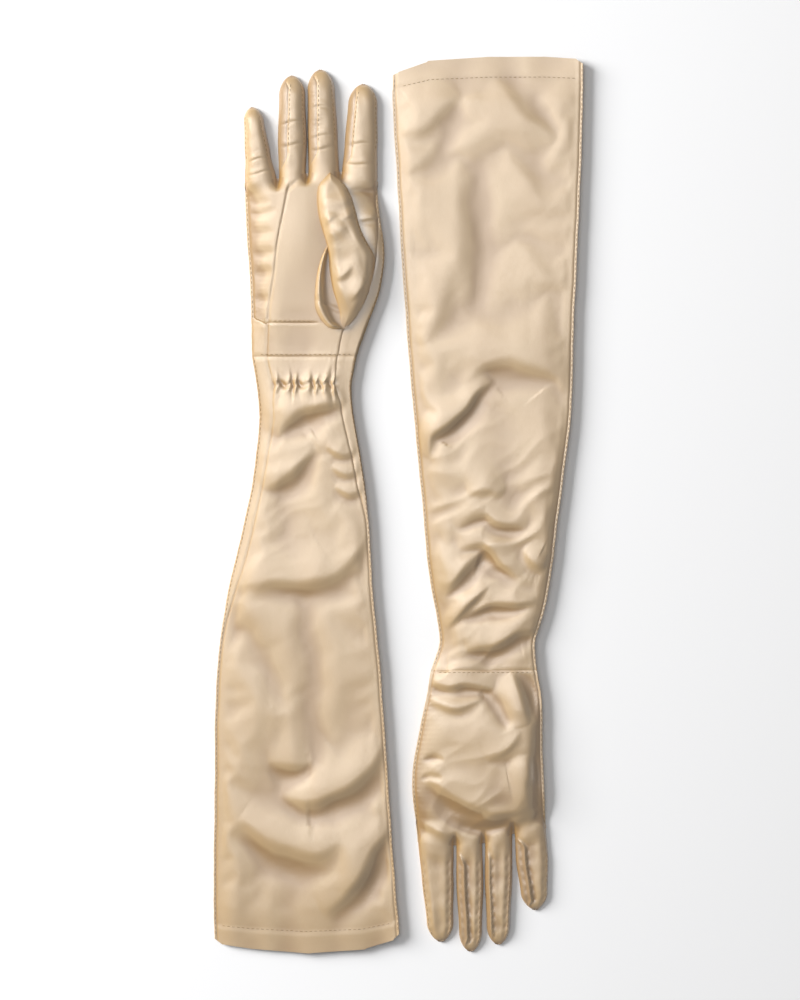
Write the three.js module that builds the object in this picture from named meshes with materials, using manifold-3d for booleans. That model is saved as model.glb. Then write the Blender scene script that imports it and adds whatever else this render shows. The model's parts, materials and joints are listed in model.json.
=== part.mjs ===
// A pair of opera gloves in satin, laid flat side by side: the right glove palm up with its fingers
// towards +Y, the left glove back up with its fingers towards -Y. Millimetres, +Z up, origin on the
// table under the middle of the pair. Each glove is drawn in its own frame, with the fingers towards
// +Y and the thumb towards +X, and the left glove's group is turned half round.
import * as THREE from "three";
import Module from "manifold-3d";
import { mergeVertices } from "three/addons/utils/BufferGeometryUtils.js";

const wasm = await Module();
wasm.setup();

// Driving dimensions
const FABRIC = 1; // thickness of each cut piece, turned seam allowance included
const GAP = 0.3; // clearance between pieces that are sewn together
const FINGER_HEIGHT = 10; // an empty finger, lying flat
const ROUNDING = 4; // how square a sleeve's cross-section is: 2 is an ellipse
const SLEEVE_STEP = 18; // spacing of cross-sections along the sleeve
const HAND_STEP = 11; // and along the hand
const CUFF = -288; // where the sleeve's outline starts; its edge is bowed about that
const HEM_DEPTH = 9; // the turned hem
const HEM_START = CUFF + 8; // its fold, clear of the corners of the cuff's edge
const HEM_THICKNESS = 0.7;
const HEM_CLEARANCE = 0.6; // the sleeve tapers a little over the depth of the hem
const ELASTIC_WIDTH = 7;
const ELASTIC_THICKNESS = 0.8;
const FOURCHETTE_THICKNESS = 0.8;
const EDGE_HEIGHT = 2 * FABRIC + GAP; // an upper layer's outer face, where it meets the lower layer
const FINGERTIP_LENGTH = 1.3; // the rounded end of a finger, in half widths
const FINGERTIP_ROUNDING = 0.92; // 1 would bring it to a point
const HAND_MIDDLE = 0.12; // where the hand's middle column runs, from -1 to 1 across it
const THUMB_HEIGHT = 8; // an empty thumb, lying flat
const THUMB_ON_PALM = 14.2; // its under face, where the thumb is folded over the palm
const THUMB_HOLE = { across: 9, along: 13 }; // half axes of the hole in the palm

const satin = new THREE.MeshStandardMaterial({ color: 0xdcc5a0, roughness: 0.42, metalness: 0 });
const facing = new THREE.MeshStandardMaterial({ color: 0xd2bb97, roughness: 0.6, metalness: 0 });
const rubberElastic = new THREE.MeshStandardMaterial({ color: 0xece5d6, roughness: 0.8, metalness: 0 });

// Each station of an outline is [y, left edge, right edge]. A height station is [y, height].
const RIGHT = {
  side: "right",
  palmUp: true,
  turned: 0,
  wristSeam: 98,
  palmSeam: 120,
  gather: 77,
  gatherInset: 5,
  cuff: [
    [-1, -286],
    [-0.9, -290],
    [0, -295.5],
    [0.6, -293],
    [0.92, -287],
    [1, -282.5],
  ],
  sleeve: [
    [-288, -121.2, 0.8],
    [-265, -121.8, -1],
    [-180, -121.3, -7],
    [-110, -119.6, -11.6],
    [-60, -113, -16.5],
    [0, -99, -20.5],
    [32, -94, -25],
    [60, -91.5, -30],
    [77, -93, -31.5],
    [98, -96.5, -27.5],
  ],
  hand: [
    [98, -96.5, -27.5],
    [120, -97, -20],
    [145, -97.7, -12],
    [168, -99, -9],
    [190, -100, -11],
    [213, -101.2, -14],
  ],
  crown: [
    [-288, 12],
    [-250, 13.2],
    [0, 13.5],
    [50, 12.3],
    [77, 11],
    [98, 11.2],
    [125, 12.4],
    [190, 12.4],
    [220, FINGER_HEIGHT],
  ],
  // Left and right end of each finger's root line, and its tip. Widths are half widths.
  fingers: [
    { name: "little", left: [-101.2, 212], right: [-80.6, 215], tip: [-98.4, 262], middle: 8.3, end: 6.6 },
    { name: "ring", left: [-78.8, 215.3], right: [-61.2, 218.3], tip: [-72.6, 283], middle: 9.6, end: 8.6 },
    { name: "middle", left: [-59.4, 218.6], right: [-39.2, 219.6], tip: [-48.9, 287], middle: 9.9, end: 9 },
    { name: "index", left: [-37.2, 219.6], right: [-14, 213], tip: [-25.8, 277.5], middle: 10.8, end: 9.8 },
  ],
  thumb: { pivot: [-36, 117], angle: 0, length: 1, hole: [-31, 143] },
};

const LEFT = {
  side: "left",
  palmUp: false,
  turned: Math.PI,
  wristSeam: 109,
  palmSeam: 131,
  gather: 88,
  gatherInset: 0,
  cuff: [
    [-1, -290.5],
    [-0.92, -294],
    [-0.35, -295.5],
    [0.55, -293.5],
    [0.9, -286.5],
    [1, -283.5],
  ],
  sleeve: [
    [-288, -121.8, 3.8],
    [-270, -121.6, 4],
    [-200, -119.5, 0],
    [-120, -115.5, -5],
    [-60, -113.8, -10],
    [0, -106.3, -16],
    [40, -101.5, -19.5],
    [70, -96.3, -24.5],
    [88, -89.5, -28.4],
    [109, -91, -21],
  ],
  hand: [
    [109, -91, -21],
    [127, -94.5, -18.5],
    [148, -95, -14],
    [172, -95, -9.9],
    [190, -95.7, -8.6],
    [213, -96.6, -11],
    [222, -97, -13],
  ],
  crown: [
    [-288, 12],
    [-250, 13.2],
    [0, 13.5],
    [60, 13.3],
    [88, 11.5],
    [109, 12],
    [135, 18.5],
    [190, 19],
    [207, 14],
    [224, FINGER_HEIGHT],
  ],
  fingers: [
    { name: "little", left: [-97, 213], right: [-76.7, 216.5], tip: [-92.5, 266.5], middle: 9.9, end: 8.2 },
    { name: "ring", left: [-74.9, 217], right: [-57.2, 222.6], tip: [-67.8, 289.6], middle: 8.4, end: 7 },
    { name: "middle", left: [-55.2, 223], right: [-38.2, 224.2], tip: [-49.6, 294.2], middle: 8.2, end: 6.8 },
    { name: "index", left: [-36.2, 224.3], right: [-13, 222], tip: [-30.4, 287.6], middle: 9.7, end: 8 },
  ],
  thumb: { pivot: [-27, 122], angle: (20 * Math.PI) / 180, length: 0.78, hole: [-33, 148] },
  // Where the palm is lifted over the thumb that is folded under it.
  lift: { height: 8.6, from: 109, full: 135, back: 195, to: 218 },
};

// The thumb's outline in its own frame: distance from its base, then left and right edge.
const THUMB_OUTLINE = [
  [0, -3, 3],
  [9, -2, 9.5],
  [22, -6.5, 16],
  [41, -9.8, 20.6],
  [49, -10, 20],
  [57, -11.5, 14],
  [67, -15, 10],
  [80, -17.4, 6.8],
  [91, -17.3, 3],
  [97.5, -15, -2.2],
  [101.5, -11, -7],
];
const THUMB_STEP = 8;
const THUMB_INNER_START = 50; // the thumb's inner panel starts past the hole in the palm
// The gusset at the thumb's foot, in the same frame.
const GUSSET_OUTLINE = [
  [0, -13, -4],
  [7, -20.6, -3.5],
  [20, -19.8, -7.2],
  [34, -18.2, -10.4],
  [45, -15.4, -11],
  [52, -12.8, -11.8],
];

// A smooth curve through the stations, for one of their columns.
function smooth(stations, y, column) {
  const last = stations.length - 1;
  let i = 0;
  while (i < last - 1 && y > stations[i + 1][0]) i++;
  const [a, b] = [stations[i], stations[i + 1]];
  const before = stations[Math.max(i - 1, 0)];
  const after = stations[Math.min(i + 2, last)];
  const span = b[0] - a[0];
  const slopeA = ((b[column] - before[column]) / (b[0] - before[0])) * span;
  const slopeB = ((after[column] - a[column]) / (after[0] - a[0])) * span;
  const t = THREE.MathUtils.clamp((y - a[0]) / span, 0, 1);
  return (
    a[column] * (2 * t ** 3 - 3 * t ** 2 + 1) +
    slopeA * (t ** 3 - 2 * t ** 2 + t) +
    b[column] * (3 * t ** 2 - 2 * t ** 3) +
    slopeB * (t ** 3 - t ** 2)
  );
}

function stepsBetween(from, to, step) {
  const n = Math.max(2, Math.round((to - from) / step));
  return Array.from({ length: n + 1 }, (_, i) => THREE.MathUtils.lerp(from, to, i / n));
}

// How high an arched layer stands at u across it, from 0 at its edges to 1 in the middle.
const arch = (u) => Math.sqrt(Math.max(0, 1 - Math.abs(u) ** ROUNDING));

// A closed solid from rows of points on its upper face. Rows run towards +Y, and points towards +X.
function sheet(rows, thickness = FABRIC) {
  const [m, n] = [rows.length, rows[0].length];
  const upper = rows.flat().flatMap((p) => [p.x, p.y, p.z]);
  const lower = rows.flat().flatMap((p) => [p.x, p.y, p.z - thickness]);
  const top = (i, j) => i * n + j;
  const under = (i, j) => m * n + i * n + j;
  const index = [];
  const face = (a, b, c, d) => index.push(a, b, c, a, c, d);
  for (let i = 0; i < m - 1; i++) {
    for (let j = 0; j < n - 1; j++) {
      face(top(i, j), top(i, j + 1), top(i + 1, j + 1), top(i + 1, j));
      face(under(i, j), under(i + 1, j), under(i + 1, j + 1), under(i, j + 1));
    }
    face(top(i + 1, 0), under(i + 1, 0), under(i, 0), top(i, 0));
    face(top(i, n - 1), under(i, n - 1), under(i + 1, n - 1), top(i + 1, n - 1));
  }
  for (let j = 0; j < n - 1; j++) {
    face(top(0, j), under(0, j), under(0, j + 1), top(0, j + 1));
    face(top(m - 1, j + 1), under(m - 1, j + 1), under(m - 1, j), top(m - 1, j));
  }
  const geometry = new THREE.BufferGeometry();
  geometry.setAttribute("position", new THREE.Float32BufferAttribute([...upper, ...lower], 3));
  geometry.setIndex(index);
  return geometry;
}

function manifoldOf(geometry) {
  const bare = geometry.clone();
  bare.deleteAttribute("normal");
  bare.deleteAttribute("uv");
  const merged = mergeVertices(bare, 1e-4);
  return new wasm.Manifold(
    new wasm.Mesh({
      numProp: 3,
      vertProperties: merged.attributes.position.array,
      triVerts: new Uint32Array(merged.index.array),
    }),
  );
}

function cut(geometry, tool) {
  const mesh = manifoldOf(geometry).subtract(manifoldOf(tool)).getMesh();
  const made = new THREE.BufferGeometry();
  made.setAttribute("position", new THREE.BufferAttribute(mesh.vertProperties, 3));
  made.setIndex(new THREE.BufferAttribute(mesh.triVerts, 1));
  return made;
}

function piece(name, geometry, material) {
  geometry.computeVertexNormals();
  const mesh = new THREE.Mesh(geometry, material);
  mesh.name = name;
  return mesh;
}

// The height of a glove's lower layer, on its under face.
function floorAt(glove, y) {
  if (!glove.lift) return 0;
  const { height, from, full, back, to } = glove.lift;
  return height * THREE.MathUtils.smoothstep(y, from, full) * (1 - THREE.MathUtils.smoothstep(y, back, to));
}

// A point on the outer face of a glove's upper layer, at u across the cross-section at y.
function upperPoint(glove, outline, y, u, inset = 0) {
  const left = smooth(outline, y, 1) + inset;
  const right = smooth(outline, y, 2) - inset;
  const low = floorAt(glove, y) + EDGE_HEIGHT;
  const z = low + (smooth(glove.crown, y, 1) - low) * arch(u);
  return new THREE.Vector3(THREE.MathUtils.lerp(left, right, (u + 1) / 2), y, z);
}

function lowerPoint(glove, outline, y, u) {
  const x = THREE.MathUtils.lerp(smooth(outline, y, 1), smooth(outline, y, 2), (u + 1) / 2);
  return new THREE.Vector3(x, y, floorAt(glove, y) + FABRIC);
}

const ARCH_COLUMNS = [-1, -0.94, -0.82, -0.5, 0, 0.5, 0.82, 0.94, 1];
const FLAT_COLUMNS = [-1, -0.92, -0.6, 0, 0.6, 0.92, 1];

// The upper layer is drawn in by the wrist elastic where that lies on it.
function gatherInset(glove, y) {
  return glove.gatherInset * Math.exp(-(((y - glove.gather) / 22) ** 2));
}

// The cuff's edge is bowed, and the rows after it straighten out.
function bow(glove, y, u) {
  const fade = THREE.MathUtils.clamp((y - CUFF) / 30, 0, 1);
  return (smooth(glove.cuff, u, 1) - CUFF) * (1 - fade);
}

function sleevePanel(glove, upper) {
  const ys = stepsBetween(CUFF, glove.wristSeam - GAP, SLEEVE_STEP);
  const columns = upper ? ARCH_COLUMNS : FLAT_COLUMNS;
  return sheet(
    ys.map((y) =>
      columns.map((u) => {
        const p = upper
          ? upperPoint(glove, glove.sleeve, y, u, gatherInset(glove, y))
          : lowerPoint(glove, glove.sleeve, y, u);
        p.y += bow(glove, y, u);
        return p;
      }),
    ),
  );
}

// The turned hem: a flat ring that lines the mouth of the sleeve.
function cuffHem(glove) {
  const ring = (offset) => {
    const us = [-0.93, -0.82, -0.5, 0, 0.5, 0.82, 0.93];
    const over = us.map((u) => {
      const p = upperPoint(glove, glove.sleeve, HEM_START, u);
      return new THREE.Vector2(p.x - Math.sign(u) * offset, p.z - FABRIC - HEM_CLEARANCE - offset);
    });
    const low = FABRIC + GAP + offset;
    const under = [new THREE.Vector2(over.at(-1).x, low), new THREE.Vector2(over[0].x, low)];
    return [...over, ...under];
  };
  const shape = new THREE.Shape(ring(0).reverse());
  shape.holes.push(new THREE.Path(ring(HEM_THICKNESS)));
  const geometry = new THREE.ExtrudeGeometry(shape, { depth: HEM_DEPTH, bevelEnabled: false });
  geometry.rotateX(Math.PI / 2);
  return geometry.translate(0, HEM_START + HEM_DEPTH, 0);
}

function wristElastic(glove) {
  const us = [-0.8, -0.5, 0, 0.5, 0.8];
  const ys = [glove.gather - ELASTIC_WIDTH / 2, glove.gather + ELASTIC_WIDTH / 2];
  const rows = ys.map((y) =>
    us.map((u) => {
      if (glove.palmUp) {
        const p = upperPoint(glove, glove.sleeve, y, u, gatherInset(glove, y));
        p.z -= FABRIC + GAP + 0.2;
        return p;
      }
      const p = lowerPoint(glove, glove.sleeve, y, u * 0.9);
      p.z += GAP + ELASTIC_THICKNESS;
      return p;
    }),
  );
  return sheet(rows, ELASTIC_THICKNESS);
}

// The line where the hand ends and the fingers begin, from crotch to crotch.
function rootLine(glove, x) {
  const ends = glove.fingers.flatMap((f) => [f.left, f.right]);
  let i = 0;
  while (i < ends.length - 2 && x > ends[i + 1][0]) i++;
  const t = THREE.MathUtils.clamp((x - ends[i][0]) / (ends[i + 1][0] - ends[i][0]), 0, 1);
  return THREE.MathUtils.lerp(ends[i][1], ends[i + 1][1], t);
}

// A layer of the hand from one seam to another, or to the finger roots where "to" is left out.
function handPanel(glove, upper, from, to) {
  const [left, right] = [glove.fingers[0].left[0], glove.fingers.at(-1).right[0]];
  const across = (x) => (2 * (x - left)) / (right - left) - 1;
  const crotches = glove.fingers.slice(1).flatMap((f, i) => [glove.fingers[i].right[0], f.left[0]]);
  const sides = upper ? [-1, -0.94, -0.82, 0.82, 0.94, 1] : [-1, 1];
  const columns = [...sides, ...crotches.map(across), HAND_MIDDLE].sort((a, b) => a - b);
  const end = to ?? Math.max(...glove.fingers.map((f) => f.right[1]));
  return sheet(
    stepsBetween(from, end, HAND_STEP).map((y) => {
      const share = (y - from) / (end - from);
      return columns.map((u) => {
        const p = upper ? upperPoint(glove, glove.hand, y, u) : lowerPoint(glove, glove.hand, y, u);
        if (to === undefined) {
          p.x = THREE.MathUtils.lerp(p.x, THREE.MathUtils.lerp(left, right, (u + 1) / 2), share ** 6);
          p.y = THREE.MathUtils.lerp(from, rootLine(glove, p.x) - GAP, share);
        }
        return p;
      });
    }),
  );
}

// The palm has a hole, which the thumb is sewn into.
function palmPanel(glove) {
  const whole = handPanel(glove, glove.palmUp, glove.palmSeam + GAP);
  const [x, y] = glove.thumb.hole;
  const ellipse = new THREE.Shape();
  ellipse.absellipse(0, 0, THUMB_HOLE.across, THUMB_HOLE.along, 0, 2 * Math.PI);
  const tool = new THREE.ExtrudeGeometry(ellipse, { depth: 30, bevelEnabled: false, curveSegments: 6 });
  tool.rotateZ(glove.thumb.angle).translate(x, y, -1);
  return cut(whole, tool);
}

// The point at share t of a finger's length and u across it, on the plane of the table.
function fingerPoint(finger, t, u) {
  const [l, r] = [new THREE.Vector2(...finger.left), new THREE.Vector2(...finger.right)];
  const root = l.clone().add(r).multiplyScalar(0.5);
  const tip = new THREE.Vector2(...finger.tip);
  const along = tip.clone().sub(root);
  const normal = new THREE.Vector2(along.y, -along.x).normalize();
  const rootHalf = (r.x - l.x) / 2;
  const widths = [
    [0, rootHalf],
    [0.35, finger.middle],
    [0.8, finger.end],
    [1, finger.end],
  ];
  const tipStart = 1 - (FINGERTIP_LENGTH * finger.end) / along.length();
  const into = THREE.MathUtils.clamp((t - tipStart) / (1 - tipStart), 0, 1);
  const half = smooth(widths, t, 1) * Math.sqrt(1 - FINGERTIP_ROUNDING * into * into);
  const square = THREE.MathUtils.smoothstep(t, 0, 0.25); // the rows turn square to the finger
  const flat = new THREE.Vector2(1, (r.y - l.y) / (r.x - l.x));
  const across = flat.multiplyScalar(1 - square).addScaledVector(normal, square);
  return root.addScaledVector(along, t).addScaledVector(across, u * half);
}

function fingerHeight(t) {
  const into = THREE.MathUtils.clamp((t - 0.72) / 0.28, 0, 1);
  return FINGER_HEIGHT * (1 - 0.6 * into * into);
}

// Shares of a finger's length for its cross-sections: closer together round the tip.
const FINGER_ROWS = [0, 0.2, 0.4, 0.6, 0.76, 0.86, 0.93, 0.975, 1];

// Where two fingers face each other the upper piece keeps its height and a fourchette stands under its
// edge. On the outside of the hand it comes down to the lower piece instead.
function fingerUpper(finger, seams) {
  const columns = [-1, -0.85, -0.4, 0.4, 0.85, 1];
  return sheet(
    FINGER_ROWS.map((t) =>
      columns.map((u) => {
        const p = fingerPoint(finger, t, u);
        const drop = (u < 0 ? seams.left : seams.right) ? arch(u) : 1;
        const z = EDGE_HEIGHT + (fingerHeight(t) - EDGE_HEIGHT) * drop;
        return new THREE.Vector3(p.x, p.y + GAP * (t === 0), z);
      }),
    ),
  );
}

function fingerLower(finger) {
  return sheet(
    FINGER_ROWS.map((t) =>
      [-1, 0, 1].map((u) => {
        const p = fingerPoint(finger, t, u);
        return new THREE.Vector3(p.x, p.y + GAP * (t === 0), FABRIC);
      }),
    ),
  );
}

// The strip that joins a finger's two pieces on a side that faces another finger.
function fourchette(finger, side) {
  const ts = [0.03, 0.2, 0.4, 0.6, 0.78];
  const inset = (distance) => (t) => {
    const p = fingerPoint(finger, t, side);
    return new THREE.Vector2(p.x - side * distance, p.y);
  };
  const outer = ts.map(inset(0.1));
  const inner = ts.map(inset(0.1 + FOURCHETTE_THICKNESS)).reverse();
  const low = FABRIC + GAP;
  const height = fingerHeight(0.78) - FABRIC - GAP - low;
  const shape = new THREE.Shape([...outer, ...inner]);
  return new THREE.ExtrudeGeometry(shape, { depth: height, bevelEnabled: false }).translate(0, 0, low);
}

// A leaf-shaped piece of the thumb. "height" gives its upper face at a share of its length and u across.
function leaf(glove, outline, from, to, inset, height, thickness = FABRIC) {
  const { pivot, angle, length } = glove.thumb;
  const columns = [-1, -0.85, -0.45, 0, 0.45, 0.85, 1];
  return sheet(
    stepsBetween(from, to, THUMB_STEP).map((v) =>
      columns.map((u) => {
        const [left, right] = [smooth(outline, v, 1) + inset, smooth(outline, v, 2) - inset];
        const p = new THREE.Vector2(THREE.MathUtils.lerp(left, right, (u + 1) / 2), v * length);
        p.rotateAround(new THREE.Vector2(), angle);
        return new THREE.Vector3(p.x + pivot[0], p.y + pivot[1], height(v, u));
      }),
    ),
    thickness,
  );
}

// The thumb is thin at its foot and at its tip.
function thumbCrown(v) {
  const foot = THREE.MathUtils.smoothstep(v, -12, 24);
  const tip = 1 - 0.55 * THREE.MathUtils.smoothstep(v, 70, 101.5);
  return THUMB_HEIGHT * foot * tip;
}

function thumbPanels(glove) {
  const end = THUMB_OUTLINE.at(-1)[0];
  const base = glove.palmUp ? THUMB_ON_PALM : 0;
  const archedOver = (v, u) => {
    const low = base + EDGE_HEIGHT;
    return low + Math.max(thumbCrown(v) - EDGE_HEIGHT, 0.4) * arch(u);
  };
  const flat = () => base + FABRIC;
  const outer = glove.palmUp
    ? leaf(glove, THUMB_OUTLINE, 0, end, 0, archedOver)
    : leaf(glove, THUMB_OUTLINE, 0, end, 0, flat);
  const inner = glove.palmUp
    ? leaf(glove, THUMB_OUTLINE, THUMB_INNER_START, end - 1, 0.2, flat)
    : leaf(glove, THUMB_OUTLINE, THUMB_INNER_START, end - 1, 0.2, archedOver);
  return [outer, inner];
}

function thumbGusset(glove) {
  const base = glove.palmUp ? THUMB_ON_PALM : 0;
  const end = GUSSET_OUTLINE.at(-1)[0];
  const inset = 0.4;
  return leaf(glove, GUSSET_OUTLINE, 1, end, inset, (v, u) => base + FABRIC + 1.4 * arch(u));
}

function makeGlove(glove) {
  const group = new THREE.Group();
  const name = (part) => `${glove.side}_${part}`;
  const add = (part, geometry, material = satin) => group.add(piece(name(part), geometry, material));

  add("sleeve_palm_panel", sleevePanel(glove, glove.palmUp));
  add("sleeve_back_panel", sleevePanel(glove, !glove.palmUp));
  add("cuff_hem", cuffHem(glove), facing);
  add("wrist_elastic", wristElastic(glove), rubberElastic);

  add("heel_panel", handPanel(glove, glove.palmUp, glove.wristSeam + GAP, glove.palmSeam - GAP));
  add("palm_panel", palmPanel(glove));
  add("hand_back_panel", handPanel(glove, !glove.palmUp, glove.wristSeam + GAP));

  const [outer, inner] = thumbPanels(glove);
  add("thumb_outer_panel", outer);
  add("thumb_inner_panel", inner);
  add("thumb_gusset", thumbGusset(glove));

  const last = glove.fingers.length - 1;
  glove.fingers.forEach((finger, i) => {
    const upper = fingerUpper(finger, { left: i === 0, right: i === last });
    const lower = fingerLower(finger);
    add(`${finger.name}_palm_piece`, glove.palmUp ? upper : lower);
    add(`${finger.name}_back_piece`, glove.palmUp ? lower : upper);
    if (i > 0) add(`${finger.name}_fourchette_outer`, fourchette(finger, -1), facing);
    if (i < last) add(`${finger.name}_fourchette_inner`, fourchette(finger, 1), facing);
  });
  group.rotation.z = glove.turned;
  return group;
}

const pair = new THREE.Group();
pair.add(makeGlove(RIGHT), makeGlove(LEFT));
export default pair;
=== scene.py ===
"""A pair of opera gloves in champagne satin, lying flat on a pale table: the right glove palm up, the
left glove back up and turned half round. Lengths in the code are millimetres, unless a name ends in
_M. Each glove is worked out in its own frame, fingers towards +y and thumb towards +x, and then placed.
"""
import json
import math

import bpy
import numpy as np
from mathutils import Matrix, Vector


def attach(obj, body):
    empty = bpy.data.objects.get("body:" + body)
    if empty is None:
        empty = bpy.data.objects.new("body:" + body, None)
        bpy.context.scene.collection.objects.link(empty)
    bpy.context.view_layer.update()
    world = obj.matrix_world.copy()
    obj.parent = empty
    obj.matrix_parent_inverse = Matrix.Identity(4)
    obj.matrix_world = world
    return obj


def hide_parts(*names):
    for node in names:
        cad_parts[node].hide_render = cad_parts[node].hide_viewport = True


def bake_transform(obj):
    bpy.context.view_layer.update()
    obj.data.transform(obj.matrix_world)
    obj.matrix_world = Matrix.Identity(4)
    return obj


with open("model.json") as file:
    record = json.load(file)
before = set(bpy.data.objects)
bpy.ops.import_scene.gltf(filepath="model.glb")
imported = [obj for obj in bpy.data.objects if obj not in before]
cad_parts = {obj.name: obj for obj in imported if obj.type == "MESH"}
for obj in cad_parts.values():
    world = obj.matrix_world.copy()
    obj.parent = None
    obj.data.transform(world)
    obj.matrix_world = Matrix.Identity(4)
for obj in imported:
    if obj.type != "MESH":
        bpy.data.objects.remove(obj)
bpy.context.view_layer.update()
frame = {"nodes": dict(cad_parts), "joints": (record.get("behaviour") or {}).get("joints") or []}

MM = 0.001

# Cloth
CLOTH = 0.45  # thickness of the satin
HEM_CLOTH = 0.4
ELASTIC = 0.5
SEAM_HEIGHT = 1.2  # where the upper and lower cloth meet at a glove's side
FAR_SEAM_HEIGHT = 5  # the same at the side away from the light, where the glove stands off the table
THUMB_SIDE_RISE = 2.6  # how much higher the left glove's seam lies where its thumb is under it
UNDER_ROLL = 2.2  # how far in from the side the lower cloth reaches the table
ROW_STEP = 1.5  # from one row of points to the next, on a sleeve
HAND_ROW_STEP = 0.9
EDGE_ROLL = 19  # how far in from the edge the upper cloth levels off
FINGER_TOP = {"right": 6.6, "left": 5.0}  # how high the fingers stand
FINGER_SUNK = {"right": 0, "left": 1.1}  # how far a finger's middle has sunk
FINGER_FULLER = {"right": 0, "left": 0.7}  # how much wider than its solid each half of a finger is
FOLD_SPREAD = 1.35  # how much wider than listed the folds lie
SLACK_WAVES = {"right": 1, "left": 0.6}  # how strongly the slack cloth waves
STITCH = 3.2  # from one stitch to the next
HEM_DEPTH = 9.5  # from the cuff's edge to the end of what is turned in
HEM_INSET = 3.5  # from the outline in to the hem's sides
ELASTIC_INSET = 13  # from the outline in to the tape's ends
ELASTIC_HALF_WIDTH = 3.5
TAPE_GAP = 0.25  # between the elastic tape and the cloth over it
LAYER_GAP = 0.12  # between the hem and the cloth over it, and from the cloth up to a stitch's middle
THUMB_EDGE = 1.1  # how high the thumb's edges stand over what it lies on
THUMB_GAP = 0.2  # how far over the palm it lies at least

# The gathers at the right wrist, in its own frame
GATHERS_MIDDLE = -61
GATHERS_HALF_WIDTH = 20
PLEAT = 6  # from one pleat to the next

# Painted shade, added to how hollow the cloth lies, so that the material paints these pieces darker and more
# golden as if they lay in shade
FINGER_PAINTED_SHADE = {"right": 0.15, "left": 0.45}
LOWER_PAINTED_SHADE = 0.45  # on the lower cloth
PALM_PAINTED_SHADE = 0.4  # on the right glove's palm
KNUCKLE_PAINTED_SHADE = 1.3  # on a band over the left glove's knuckles
KNUCKLE_SHADE_BAND = (0.8, 0.12)  # the band's middle and width, as shares of the way from wrist to roots

# Settling of the upper sleeve panels by the cloth solver
SLACK = 0.0012  # how much longer the cloth is than the way across its outline
SETTLING_FRAMES = 14
SETTLING_CAP = 4  # how far a point may rise or fall

# Where the bends at the joints would start and end, as distances along a glove; they are passed on, but no
# piece is bent
WRIST_BEND = (-6, 14)  # from the wrist seam
FINGER_BEND = 16  # from a finger's root
THUMB_BEND = (5, 48)  # from the thumb's foot

FINGERS = ("little", "ring", "middle", "index")
NARROWEST_SHEET_M = 0.01  # narrower strips are passed over by declare_sheet
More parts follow.
